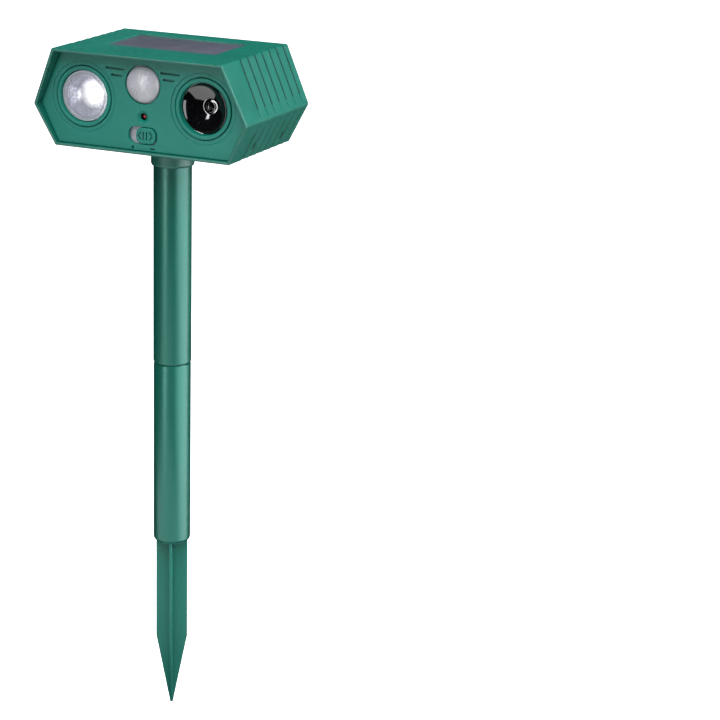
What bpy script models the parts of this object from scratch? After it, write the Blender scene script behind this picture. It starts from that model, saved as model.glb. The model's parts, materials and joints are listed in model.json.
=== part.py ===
"""Solar ultrasonic pest repeller: a six-sided head on a two-part pole with a ground spike.

Metres, +Z up. The origin is on the pole's axis at the ground line, the front faces -Y.
"""

import math

import bmesh
import bpy
from mathutils import Matrix, Vector

# ---------------------------------------------------------------- driving dimensions, in metres
GAP = 0.0003  # seating and running gap between neighbouring pieces

# spike and pole, heights above the ground line
SPIKE_TIP = -0.1133
SPIKE_SHOULDER = -0.067
VANE_REACH = 0.0099
VANE_THICKNESS = 0.0016
VANE_TURN = math.radians(22)
PLUG_RADIUS = 0.0100
PLUG_TOP = 0.024
PLUG_DISC = 0.0012
TUBE_JOINT = 0.117
SPIGOT_TOP = 0.139
SPIGOT_RADIUS = 0.0099
LOWER_TUBE_RADIUS = 0.0116
UPPER_TUBE_RADIUS = 0.0118
TUBE_WALL = 0.0016
TUBE_CHAMFER = 0.0006

# head: a six-sided prism along Y, its front rim raked like a rain hood
HEAD_BOTTOM = 0.255
HEAD_HEIGHT = 0.060
HEAD_TOP = HEAD_BOTTOM + HEAD_HEIGHT
TOP_HALF_WIDTH = 0.0565
WIDE_HALF_WIDTH = 0.0715
WIDE_HEIGHT = HEAD_BOTTOM + 0.0247
BOTTOM_HALF_WIDTH = 0.0585
BACK_Y = 0.042
RIM_TOP_Y = -0.0475
RIM_BOTTOM_Y = -0.0405
EDGE_ROUND = 0.0012
HEAD_WALL = 0.0032
RIM_WALL = 0.0019
COLLAR_RADIUS = 0.0133
COLLAR_BOTTOM = 0.242
COLLAR_CHAMFER = 0.0012

# front panel, behind the hood's rim
PANEL_Y = -0.038
PANEL_THICKNESS = 0.0025
PANEL_BACK_Y = PANEL_Y + PANEL_THICKNESS
GASKET_THICKNESS = 0.0006
FRONT_LEDGE_Y = PANEL_BACK_Y + GASKET_THICKNESS + 2 * GAP
EYE_X = 0.040
EYE_Z = HEAD_BOTTOM + 0.0311
BEZEL_HOLE = 0.0188
PIR_Z = HEAD_BOTTOM + 0.0418
PIR_HOLE = 0.0117
INDICATOR_Z = HEAD_BOTTOM + 0.0224
INDICATOR_HOLE = 0.0022
SWITCH_Z = HEAD_BOTTOM + 0.0113
SWITCH_SLOT = (0.0192, 0.0106)
SWITCH_SLOT_CORNER = 0.0045
ACCENT_ROWS = ((0.0118, 0.0249, 0.0499), (0.0136, 0.0214, 0.0460))  # from x, to x, height
ACCENT_WIDTH = 0.0008
ACCENT_DEPTH = 0.0005

# slats on the four slanted faces: each steps in at a line, then ramps out towards the rear
SLAT_FIRST_Y = -0.0236
SLAT_PITCH = 0.00955
SLAT_COUNT = 7
SLAT_DEPTH = 0.0009
SLAT_RUN = 0.0090
SLAT_RUNOUT = 0.0001  # a slat's ramp ends just proud of the face, so that it leaves it cleanly
SLAT_UPPER_END = WIDE_HEIGHT + 0.0065
SLAT_LOWER_START = HEAD_BOTTOM + 0.019
SIDE_SLOTS_Y = (-0.016, 0.0225)
SIDE_SLOT = (0.0015, 0.0048, 0.0014)  # width, height, depth
SIDE_SLOT_Z = HEAD_BOTTOM + 0.0072

# solar panel in a well in the roof
WELL_HALF_WIDTH = 0.0375
WELL_FRONT_Y = -0.0175
WELL_BACK_Y = 0.026
SOLAR_SINK = 0.0008
SOLAR_THICKNESS = 0.0016
SOLAR_SEAL_THICKNESS = 0.0006
WELL_DEPTH = SOLAR_SINK + SOLAR_THICKNESS + SOLAR_SEAL_THICKNESS + 2 * GAP
WELL_WALL = 0.002
WIRE_HOLE = 0.003

# rear cover and its screws
COVER_THICKNESS = 0.0028
COVER_Y = BACK_Y - COVER_THICKNESS
REAR_LEDGE_Y = COVER_Y - GASKET_THICKNESS - 2 * GAP
BOSS_RADIUS = 0.0036
BOSS_PLACES = ((-0.050, 0.0541), (0.050, 0.0541), (-0.051, 0.0059), (0.051, 0.0059))
BOSS_FRONT_Y = 0.012
PILOT_RADIUS = 0.0018
COUNTERBORE_RADIUS = 0.0032
COUNTERBORE_DEPTH = 0.0018
SCREW_RADIUS = 0.0015
SCREW_HEAD_RADIUS = 0.0028

# charging socket in the rear cover, with its pull-out plug
CHARGE_X = 0.033
CHARGE_Z = HEAD_BOTTOM + 0.034
CHARGE_RECESS = (0.0166, 0.0096)
CHARGE_RECESS_DEPTH = 0.0015
CHARGE_HOLE = (0.0112, 0.0056)
CHARGE_SHELL = (0.0090, 0.0034)
CHARGE_SHELL_LENGTH = 0.0068

# main board, on posts behind the front panel
BOARD_Y = -0.025
BOARD_THICKNESS = 0.0016
BOARD_HALF_WIDTH = 0.023
BOARD_BOTTOM = HEAD_BOTTOM + 0.0075
BOARD_TOP = HEAD_BOTTOM + 0.0505
POST_RADIUS = 0.0025
POST_PILOT = 0.0014
POST_PLACES = ((-0.020, 0.0475), (0.020, 0.0475), (-0.020, 0.0105), (0.020, 0.0105))

# slide switch
KNOB_SIZE = (0.0129, 0.0097)
KNOB_REST_X = 0.00215
KNOB_PROUD = 0.0003
LEVER_SIZE = (0.0034, 0.0020)

# cells in their holder on the head's floor
CELL_RADIUS = 0.0071
CELL_HALF_LENGTH = 0.025
CELL_PITCH = 0.0150
CELL_CENTRE_Y = 0.0115
HOLDER_WALL = 0.0012
HOLDER_HALF_LENGTH = 0.030
HOLDER_HEIGHT = 0.011

SEGMENTS = 32  # sides of the large round pieces
SMALL_SEGMENTS = 12  # sides of screws and other small round pieces
SMOOTH_ANGLE = math.radians(40)

GREEN = (0.016, 0.190, 0.135)


# ---------------------------------------------------------------- scene, collections, materials
def clear_scene():
    for obj in list(bpy.data.objects):
        bpy.data.objects.remove(obj, do_unlink=True)


def new_collection(name):
    group = bpy.data.collections.new(name)
    bpy.context.scene.collection.children.link(group)
    return group


clear_scene()
PARTS = new_collection("ultrasonic_pest_repeller")
CUTTERS = new_collection("cutters")


def add_material(name, colour, roughness, metallic=0.0, alpha=1.0):
    mat = bpy.data.materials.new(name + "_material")
    mat.use_nodes = True
    shader = mat.node_tree.nodes["Principled BSDF"]
    shader.inputs["Base Color"].default_value = (*colour, 1.0)
    shader.inputs["Roughness"].default_value = roughness
    shader.inputs["Metallic"].default_value = metallic
    shader.inputs["Alpha"].default_value = alpha
    return mat


# ---------------------------------------------------------------- pieces and cutters
def place(name, data, look):
    """Put mesh or curve data in the scene: as a piece with a finish, or as a cutter where look is None."""
    obj = bpy.data.objects.new(name, data)
    if look is None:
        CUTTERS.objects.link(obj)
        obj.hide_render = True
        obj.display_type = "WIRE"
    else:
        PARTS.objects.link(obj)
        obj.data.materials.append(add_material(name, *look))
    return obj


def mesh_from(name, bm):
    mesh = bpy.data.meshes.new(name)
    bmesh.ops.recalc_face_normals(bm, faces=bm.faces)
    bm.to_mesh(mesh)
    bm.free()
    return mesh


def prism(name, outline, front_y, back_y, look=None, rake=None):
    """A flat outline of (x, z) points, thickened along Y; rake gives the front's y from its height."""
    bm = bmesh.new()
    face = bm.faces.new([bm.verts.new((x, front_y, z)) for x, z in outline])
    made = bmesh.ops.extrude_face_region(bm, geom=[face])["geom"]
    back = [v for v in made if isinstance(v, bmesh.types.BMVert)]
    bmesh.ops.translate(bm, verts=back, vec=(0, back_y - front_y, 0))
    if rake:
        for v in set(bm.verts) - set(back):
            v.co.y = rake(v.co.z)
    return place(name, mesh_from(name, bm), look)


def box(name, low, high, look=None):
    """A box between two corners."""
    low, high = Vector(low), Vector(high)
    bm = bmesh.new()
    scale = Matrix.Diagonal((*(high - low), 1.0))
    bmesh.ops.create_cube(bm, size=1.0, matrix=Matrix.Translation((low + high) / 2) @ scale)
    return place(name, mesh_from(name, bm), look)


def turned(name, profile, centre, look=None, facing="up", segments=SEGMENTS):
    """A profile of (radius, height) points, spun once round its axis.

    The profile runs down its outer side. facing is where its height points: up, or front for -Y.
    A profile whose two ends are on the axis is a solid, and any other is closed into a ring.
    """
    mesh = bpy.data.meshes.new(name)
    points = [(r, 0.0, h) for r, h in profile]
    edges = [(i, i + 1) for i in range(len(points) - 1)]
    if profile[0][0] > 0 or profile[-1][0] > 0:
        edges.append((len(points) - 1, 0))
    mesh.from_pydata(points, edges, [])
    obj = place(name, mesh, look)
    obj.location = centre
    if facing == "front":
        obj.rotation_euler = (math.radians(90), 0, 0)
    spin = obj.modifiers.new("turn", "SCREW")
    spin.steps = spin.render_steps = segments
    spin.use_merge_vertices = True
    spin.merge_threshold = 0.00001
    spin.use_smooth_shade = False
    return obj


def rod(name, radius, low, high, centre, look=None, facing="up", segments=SEGMENTS):
    """A plain round bar from low to high along its axis."""
    return turned(name, [(0, high), (radius, high), (radius, low), (0, low)], centre, look, facing, segments)


def wire(name, points, radius, look):
    """A round wire along a smooth curve through the points."""
    curve = bpy.data.curves.new(name, "CURVE")
    curve.dimensions = "3D"
    curve.bevel_depth = radius
    curve.bevel_resolution = 2
    curve.use_fill_caps = True
    line = curve.splines.new("POLY")
    line.points.add(len(points) - 1)
    for target, point in zip(line.points, points):
        target.co = (*point, 1.0)
    return place(name, curve, look)


def smooth_route(stops, steps=3):
    """Points along a Catmull-Rom curve through the stops."""
    stops = [Vector(s) for s in stops]
    ends = [2 * stops[0] - stops[1]] + stops + [2 * stops[-1] - stops[-2]]
    route = []
    for a, b, c, d in zip(ends, ends[1:], ends[2:], ends[3:]):
        for k in range(steps):
            t = k / steps
            rise, bend = (2 * a - 5 * b + 4 * c - d) * t**2, (3 * b - a - 3 * c + d) * t**3
            route.append(0.5 * (2 * b + (c - a) * t + rise + bend))
    return route + [stops[-1]]


def combine(target, other, operation):
    change = target.modifiers.new(other.name, "BOOLEAN")
    change.operation = operation
    change.solver = "EXACT"
    change.object = other


def cut(target, *cutters):
    for cutter in cutters:
        combine(target, cutter, "DIFFERENCE")


def fuse(target, *others):
    for other in others:
        combine(target, other, "UNION")


# ---------------------------------------------------------------- outlines, as (x, z) points
def inset_outline(points, distance):
    """A convex outline, clockwise from its first point, moved inwards by distance."""
    corners = [Vector(p) for p in points]
    result = []
    for before, here, after in zip([corners[-1]] + corners[:-1], corners, corners[1:] + corners[:1]):
        into, out = (here - before).normalized(), (after - here).normalized()
        inward = Vector((into.y, -into.x)) + Vector((out.y, -out.x))
        result.append(tuple(here + inward * (distance / (1.0 + into.dot(out)))))
    return result


HEAD_OUTLINE = [
    (-TOP_HALF_WIDTH, HEAD_TOP),
    (TOP_HALF_WIDTH, HEAD_TOP),
    (WIDE_HALF_WIDTH, WIDE_HEIGHT),
    (BOTTOM_HALF_WIDTH, HEAD_BOTTOM),
    (-BOTTOM_HALF_WIDTH, HEAD_BOTTOM),
    (-WIDE_HALF_WIDTH, WIDE_HEIGHT),
]


def rounded_rectangle(width, height, corner, x, z, steps=6):
    points = []
    for quarter, (sx, sz) in enumerate(((1, 1), (-1, 1), (-1, -1), (1, -1))):
        for k in range(steps + 1):
            angle = math.pi / 2 * (quarter + k / steps)
            points.append(
                (
                    x + sx * (width / 2 - corner) + corner * math.cos(angle),
                    z + sz * (height / 2 - corner) + corner * math.sin(angle),
                )
            )
    return points


def ring_prism(name, outline, wall, front_y, back_y, look):
    """A flat frame that follows an outline."""
    frame = prism(name, outline, front_y, back_y, look)
    cut(frame, prism(name + "_opening", inset_outline(outline, wall), front_y - 0.002, back_y + 0.002))
    return frame


def rim_y(height):
    """The raked front rim's y at a height."""
    share = (height - HEAD_BOTTOM) / HEAD_HEIGHT
    return RIM_BOTTOM_Y + (RIM_TOP_Y - RIM_BOTTOM_Y) * share


# ---------------------------------------------------------------- spike and pole
def make_spike():
    spike = turned(
        "ground_spike",
        [
            (0, PLUG_TOP),
            (PLUG_RADIUS - TUBE_CHAMFER, PLUG_TOP),
            (PLUG_RADIUS, PLUG_TOP - TUBE_CHAMFER),
            (PLUG_RADIUS, -PLUG_DISC),
            (0, -PLUG_DISC),
        ],
        (0, 0, 0),
        (GREEN, 0.42),
    )
    tip = VANE_THICKNESS / 2
    for index in range(2):
        shorten = 0.0004 * index
        outline = [
            (-VANE_REACH, PLUG_DISC),
            (VANE_REACH, PLUG_DISC),
            (VANE_REACH, SPIKE_SHOULDER - shorten),
            (tip, SPIKE_TIP + shorten),
            (-tip, SPIKE_TIP + shorten),
            (-VANE_REACH, SPIKE_SHOULDER - shorten),
        ]
        vanes = prism(f"vane_pair_{index + 1}", outline, -VANE_THICKNESS / 2, VANE_THICKNESS / 2)
        vanes.rotation_euler = (0, 0, VANE_TURN + index * math.pi / 2)
        fuse(spike, vanes)


def make_pole():
    bore = PLUG_RADIUS + GAP
    inner = SPIGOT_RADIUS - TUBE_WALL
    shoulder = TUBE_JOINT - GAP / 2
    turned(
        "lower_tube",
        [
            (SPIGOT_RADIUS - TUBE_CHAMFER, SPIGOT_TOP),
            (SPIGOT_RADIUS, SPIGOT_TOP - TUBE_CHAMFER),
            (SPIGOT_RADIUS, shoulder),
            (LOWER_TUBE_RADIUS - TUBE_CHAMFER, shoulder),
            (LOWER_TUBE_RADIUS, shoulder - TUBE_CHAMFER),
            (LOWER_TUBE_RADIUS, 2 * TUBE_CHAMFER),
            (LOWER_TUBE_RADIUS - TUBE_CHAMFER, 0),
            (bore, 0),
            (bore, PLUG_TOP + GAP),
            (inner, PLUG_TOP + GAP),
            (inner, SPIGOT_TOP),
        ],
        (0, 0, 0),
        (GREEN, 0.36),
    )
    turned(
        "upper_tube",
        [
            (UPPER_TUBE_RADIUS, HEAD_BOTTOM - GAP),
            (UPPER_TUBE_RADIUS, TUBE_JOINT + GAP / 2 + TUBE_CHAMFER),
            (UPPER_TUBE_RADIUS - TUBE_CHAMFER, TUBE_JOINT + GAP / 2),
            (SPIGOT_RADIUS + GAP, TUBE_JOINT + GAP / 2),
            (SPIGOT_RADIUS + GAP, HEAD_BOTTOM - GAP),
        ],
        (0, 0, 0),
        (GREEN, 0.36),
    )


# ---------------------------------------------------------------- head shell
def slat_cutter(name, upper, lower, start, end):
    """Seven wedges along one slanted face of the right side, from height start down to height end."""
    top, bottom = Vector(upper), Vector(lower)
    along = (bottom - top).normalized()
    outward = Vector((-along.y, along.x))
    first = top + along * ((start - top.y) / along.y)
    last = top + along * ((end - top.y) / along.y)
    bm = bmesh.new()
    for index in range(SLAT_COUNT):
        line_y = SLAT_FIRST_Y + index * SLAT_PITCH
        end_y = line_y + SLAT_RUN
        section = ((line_y, -SLAT_DEPTH), (end_y, SLAT_RUNOUT), (end_y, 0.002), (line_y, 0.002))
        corners = []
        for y, depth in section:
            spot = first + outward * depth
            corners.append(bm.verts.new((spot.x, y, spot.y)))
        made = bmesh.ops.extrude_face_region(bm, geom=[bm.faces.new(corners)])["geom"]
        run = last - first
        moved = [v for v in made if isinstance(v, bmesh.types.BMVert)]
        bmesh.ops.translate(bm, verts=moved, vec=(run.x, 0, run.y))
    return place(name, mesh_from(name, bm), None)


def mirrored(cutter):
    """The same cutter on the head's left side."""
    mesh = cutter.data.copy()
    mesh.transform(Matrix.Diagonal((-1, 1, 1, 1)))
    mesh.flip_normals()
    return place(cutter.name + "_left", mesh, None)


def make_housing():
    housing = prism("housing", HEAD_OUTLINE, RIM_TOP_Y, BACK_Y, (GREEN, 0.40), rake=rim_y)
    soften = housing.modifiers.new("edges", "BEVEL")
    soften.width = EDGE_ROUND
    soften.segments = 2
    soften.limit_method = "ANGLE"

    cavity = prism("cavity", inset_outline(HEAD_OUTLINE, HEAD_WALL), RIM_TOP_Y - 0.01, BACK_Y + 0.01)
    cut(
        cavity,
        box(
            "well_tray",
            (-WELL_HALF_WIDTH - WELL_WALL, WELL_FRONT_Y - WELL_WALL, HEAD_TOP - WELL_DEPTH - WELL_WALL),
            (WELL_HALF_WIDTH + WELL_WALL, WELL_BACK_Y + WELL_WALL, HEAD_TOP),
        ),
    )
    for index, (x, height) in enumerate(BOSS_PLACES):
        spot = (x, 0, HEAD_BOTTOM + height)
        ends = (-REAR_LEDGE_Y, -BOSS_FRONT_Y)
        boss = rod(f"boss_{index + 1}", BOSS_RADIUS, *ends, spot, None, "front", SMALL_SEGMENTS)
        cut(cavity, boss)
    cut(housing, cavity)
    pocket = inset_outline(HEAD_OUTLINE, RIM_WALL)
    cut(housing, prism("front_pocket", pocket, RIM_TOP_Y - 0.01, FRONT_LEDGE_Y))
    cut(housing, prism("rear_pocket", pocket, REAR_LEDGE_Y, BACK_Y + 0.01))
    cut(
        housing,
        box(
            "well",
            (-WELL_HALF_WIDTH, WELL_FRONT_Y, HEAD_TOP - WELL_DEPTH),
            (WELL_HALF_WIDTH, WELL_BACK_Y, HEAD_TOP + 0.01),
        ),
        rod("solar_wire_hole", WIRE_HOLE / 2, -0.008, 0.0, (0, 0, HEAD_TOP), segments=SMALL_SEGMENTS),
    )
    collar_top = HEAD_BOTTOM + HEAD_WALL / 2
    bore = UPPER_TUBE_RADIUS + GAP
    fuse(
        housing,
        turned(
            "collar",
            [
                (COLLAR_RADIUS, collar_top),
                (COLLAR_RADIUS, COLLAR_BOTTOM + COLLAR_CHAMFER),
                (COLLAR_RADIUS - COLLAR_CHAMFER / 2, COLLAR_BOTTOM),
                (bore, COLLAR_BOTTOM),
                (bore, collar_top),
            ],
            (0, 0, 0),
        ),
    )
    upper = slat_cutter("slats_upper", HEAD_OUTLINE[1], HEAD_OUTLINE[2], HEAD_TOP + 0.004, SLAT_UPPER_END)
    beyond_floor = HEAD_BOTTOM - 0.004
    lower = slat_cutter("slats_lower", HEAD_OUTLINE[2], HEAD_OUTLINE[3], SLAT_LOWER_START, beyond_floor)
    cut(housing, upper, mirrored(upper), lower, mirrored(lower))
    for index, (x, height) in enumerate(BOSS_PLACES):
        spot = (x, 0, HEAD_BOTTOM + height)
        ends = (-BACK_Y, -BOSS_FRONT_Y - 0.004)
        cut(housing, rod(f"pilot_{index + 1}", PILOT_RADIUS, *ends, spot, None, "front", SMALL_SEGMENTS))
    width, height, depth = SIDE_SLOT
    slope = math.atan2(WIDE_HALF_WIDTH - BOTTOM_HALF_WIDTH, WIDE_HEIGHT - HEAD_BOTTOM)
    face_x = BOTTOM_HALF_WIDTH + (SIDE_SLOT_Z - HEAD_BOTTOM) * math.tan(slope)
    for index, y in enumerate(SIDE_SLOTS_Y):
        for side in (-1, 1):
            name = f"side_slot_{index + 1}_{'left' if side < 0 else 'right'}"
            slot = box(name, (-depth, -width / 2, -height / 2), (0.004, width / 2, height / 2))
            slot.location = (side * face_x, y, SIDE_SLOT_Z)
            slot.rotation_euler = (0, slope if side > 0 else math.pi - slope, 0)
            cut(housing, slot)


# ---------------------------------------------------------------- front panel and its openings
def make_front_panel():
    outline = inset_outline(HEAD_OUTLINE, RIM_WALL + GAP)
    panel = prism("front_panel", outline, PANEL_Y, PANEL_BACK_Y, (GREEN, 0.42))
    foot, root = -(BOARD_Y - GAP), -(PANEL_BACK_Y - PANEL_THICKNESS / 2)
    bore_floor = root - 0.0005
    hollow_post = [(0, root), (POST_RADIUS, root), (POST_RADIUS, foot)]
    hollow_post += [(POST_PILOT, foot), (POST_PILOT, bore_floor), (0, bore_floor)]
    for index, (x, height) in enumerate(POST_PLACES):
        spot = (x, 0, HEAD_BOTTOM + height)
        fuse(panel, turned(f"post_{index + 1}", hollow_post, spot, None, "front", SMALL_SEGMENTS))
    through = (-0.004, 0.004)
    for side, label in ((-1, "left"), (1, "right")):
        centre = (side * EYE_X, PANEL_Y, EYE_Z)
        cut(panel, rod(f"eye_hole_{label}", BEZEL_HOLE, *through, centre, None, "front"))
    cut(panel, rod("pir_hole", PIR_HOLE, *through, (0, PANEL_Y, PIR_Z), None, "front"))
    centre = (0, PANEL_Y, INDICATOR_Z)
    cut(panel, rod("indicator_hole", INDICATOR_HOLE, *through, centre, None, "front", SMALL_SEGMENTS))
    slot = rounded_rectangle(*SWITCH_SLOT, SWITCH_SLOT_CORNER, 0, SWITCH_Z)
    cut(panel, prism("switch_slot", slot, PANEL_Y - 0.002, PANEL_BACK_Y + 0.002))
    for row, (start, end, height) in enumerate(ACCENT_ROWS):
        for side, label in ((-1, "left"), (1, "right")):
            z = HEAD_BOTTOM + height
            low = (min(side * start, side * end), PANEL_Y - 0.002, z - ACCENT_WIDTH / 2)
            high = (max(side * start, side * end), PANEL_Y + ACCENT_DEPTH, z + ACCENT_WIDTH / 2)
            cut(panel, box(f"accent_{row + 1}_{label}", low, high))
    ring_prism(
        "panel_gasket", outline, HEAD_WALL - RIM_WALL - 2 * GAP, PANEL_BACK_Y + GAP, FRONT_LEDGE_Y - GAP,
        ((0.02, 0.02, 0.02), 0.8),
    )


def bezel(name, x, inner):
    """A round green ring pressed into the panel from behind, flush with its front."""
    outer = BEZEL_HOLE - GAP
    behind = -(PANEL_THICKNESS + GAP)
    turned(
        name,
        [
            (outer - 0.0004, 0),
            (outer, -0.0004),
            (outer, behind),
            (outer + 0.0018, behind),
            (outer + 0.0018, behind - 0.0012),
            (inner, behind - 0.0012),
            (inner, -0.0005),
            (inner + 0.0005, 0),
        ],
        (x, PANEL_Y, EYE_Z),
        (GREEN, 0.40),
        "front",
    )


def make_light():
    centre = (-EYE_X, PANEL_Y, EYE_Z)
    bezel("led_bezel", -EYE_X, 0.0159)
    turned(
        "led_lens",
        [(0, -0.0012), (0.0090, -0.0014), (0.0156, -0.0020), (0.0156, -0.0034), (0, -0.0034)],
        centre,
        ((0.85, 0.86, 0.92), 0.10, 0.0, 0.4),
        "front",
    )
    cup = [(0.0040 + 0.0112 * math.sqrt(k / 5), -0.0150 + 0.0113 * k / 5) for k in range(6)]
    turned(
        "led_reflector",
        [(0.0156, -0.0037), (0.0156, -0.0047)]
        + [(r + 0.0008, h - 0.0004) for r, h in cup[-2:0:-1]]
        + [(0.0048, -0.0150)]
        + cup,
        centre,
        ((0.80, 0.80, 0.86), 0.12, 1.0),
        "front",
        24,
    )
    rod("led_board", 0.0120, -0.0169, -0.0153, centre, ((0.75, 0.76, 0.72), 0.5), "front", 24)
    turned(
        "led_emitter",
        [(0, -0.0118), (0.0014, -0.0123), (0.0022, -0.0135), (0.0022, -0.0141), (0.0030, -0.0141),
         (0.0030, -0.0150), (0, -0.0150)],
        centre,
        ((0.95, 0.88, 0.55), 0.2),
        "front",
        SMALL_SEGMENTS,
    )


def make_speaker():
    centre = (EYE_X, PANEL_Y, EYE_Z)
    bezel("speaker_bezel", EYE_X, 0.0156)
    shares = [k / 4 for k in range(5)]
    dish = [(0.0040 + 0.0112 * math.sin(math.pi / 2 * s), -0.0105 + 0.0062 * s**1.6) for s in shares]
    turned(
        "speaker_horn",
        [(0, -0.0105)]
        + dish
        + [(0.0172, -0.0043), (0.0172, -0.0053), (0.0160, -0.0060)]
        + [(0.0140, -0.0090), (0.0060, -0.0118), (0, -0.0118)],
        centre,
        ((0.012, 0.012, 0.014), 0.08),
        "front",
        24,
    )
    turned(
        "speaker_dome",
        [(0, -0.0068), (0.0010, -0.0070), (0.0018, -0.0077), (0.0021, -0.0086), (0.0016, -0.0094)]
        + [(0.0030, -0.0102), (0, -0.0102)],
        centre,
        ((0.02, 0.02, 0.022), 0.10),
        "front",
        SMALL_SEGMENTS,
    )
    turned(
        "speaker_motor",
        [(0, -0.0121), (0.0115, -0.0121), (0.0120, -0.0126), (0.0120, -0.0196)]
        + [(0.0090, -0.0204), (0, -0.0204)],
        centre,
        ((0.10, 0.10, 0.11), 0.5),
        "front",
        24,
    )


def make_motion_eye():
    centre = (0, PANEL_Y, PIR_Z)
    radius, sink, rise, wall = 0.0111, -0.0008, 0.0044, 0.0009
    steps = 4
    cap = [(radius * math.sin(math.pi / 2 * k / steps), sink + rise * math.cos(math.pi / 2 * k / steps))
           for k in range(steps + 1)]
    neck = PIR_HOLE - GAP
    behind = -(PANEL_THICKNESS + GAP)
    inside = [((radius - wall) * math.sin(math.pi / 2 * k / steps),
               sink + (rise - wall) * math.cos(math.pi / 2 * k / steps)) for k in range(steps, -1, -1)]
    turned(
        "pir_lens",
        cap
        + [(neck, sink - 0.0006), (neck, behind), (0.0128, behind), (0.0128, behind - 0.0009),
           (radius - wall, behind - 0.0009)]
        + inside,
        centre,
        ((0.78, 0.78, 0.84), 0.35, 0.0, 0.9),
        "front",
        28,
    )
    turned(
        "pir_sensor",
        [(0, -0.0086), (0.0040, -0.0086), (0.0042, -0.0088), (0.0042, -0.0121), (0.0047, -0.0121)]
        + [(0.0047, -0.0127), (0, -0.0127)],
        centre,
        ((0.72, 0.70, 0.62), 0.25, 1.0),
        "front",
        SMALL_SEGMENTS,
    )


def make_indicator():
    centre = (0, PANEL_Y, INDICATOR_Z)
    turned(
        "indicator_led",
        [(0, -0.0004), (0.0008, -0.0006), (0.0013, -0.0012), (0.0015, -0.0019), (0.0015, -0.0053)]
        + [(0.0018, -0.0053), (0.0018, -0.0062), (0, -0.0062)],
        centre,
        ((0.85, 0.10, 0.12), 0.15),
        "front",
        SMALL_SEGMENTS,
    )
    black = ((0.02, 0.02, 0.02), 0.6)
    rod("indicator_spacer", 0.0022, -0.0127, -0.0065, centre, black, "front", SMALL_SEGMENTS)


# ---------------------------------------------------------------- slide switch
def make_switch():
    plate_front = PANEL_BACK_Y + GAP
    plate_back = plate_front + 0.0008
    plate_outline = rounded_rectangle(0.0250, 0.0130, 0.001, 0, SWITCH_Z, 2)
    plate = prism("switch_plate", plate_outline, plate_front, plate_back, ((0.42, 0.42, 0.46), 0.4))
    half_run = KNOB_REST_X + LEVER_SIZE[0] / 2 + 2 * GAP
    opening = (half_run, LEVER_SIZE[1] / 2 + GAP)
    cut(
        plate,
        box(
            "plate_slot",
            (-opening[0], plate_front - 0.002, SWITCH_Z - opening[1]),
            (opening[0], plate_back + 0.002, SWITCH_Z + opening[1]),
        ),
    )

    knob_front, knob_back = PANEL_Y - KNOB_PROUD, PANEL_BACK_Y
    outline = rounded_rectangle(*KNOB_SIZE, 0.0040, KNOB_REST_X, SWITCH_Z)
    knob = prism("switch_knob", outline, knob_front, knob_back, (GREEN, 0.40))
    lever_low = (KNOB_REST_X - LEVER_SIZE[0] / 2, SWITCH_Z - LEVER_SIZE[1] / 2)
    lever_high = (KNOB_REST_X + LEVER_SIZE[0] / 2, SWITCH_Z + LEVER_SIZE[1] / 2)
    socket_floor = knob_back - 0.0014
    cut(
        knob,
        box(
            "knob_socket",
            (lever_low[0] - GAP, socket_floor, lever_low[1] - GAP),
            (lever_high[0] + GAP, knob_back + 0.002, lever_high[1] + GAP),
        ),
    )
    for index, x in enumerate((-0.0009, 0.0009)):
        bar_x = KNOB_REST_X + x
        cut(
            knob,
            box(
                f"knob_bar_{index + 1}",
                (bar_x - 0.0002, knob_front - 0.001, SWITCH_Z - 0.0024),
                (bar_x + 0.0002, knob_front + 0.0003, SWITCH_Z + 0.0024),
            ),
        )

    switch_front = BOARD_Y - GAP - 0.0050
    body = box(
        "slide_switch_body",
        (-0.0080, switch_front, SWITCH_Z - 0.0032),
        (0.0080, BOARD_Y - GAP, SWITCH_Z + 0.0032),
        ((0.60, 0.60, 0.62), 0.3, 1.0),
    )
    lever_back = switch_front + 0.0016
    cut(
        body,
        box(
            "lever_slot",
            (-opening[0], switch_front - 0.002, SWITCH_Z - opening[1]),
            (opening[0], lever_back + GAP, SWITCH_Z + opening[1]),
        ),
    )
    box(
        "slide_switch_lever",
        (lever_low[0], socket_floor + GAP, lever_low[1]),
        (lever_high[0], lever_back, lever_high[1]),
        ((0.05, 0.05, 0.05), 0.5),
    )


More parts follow.
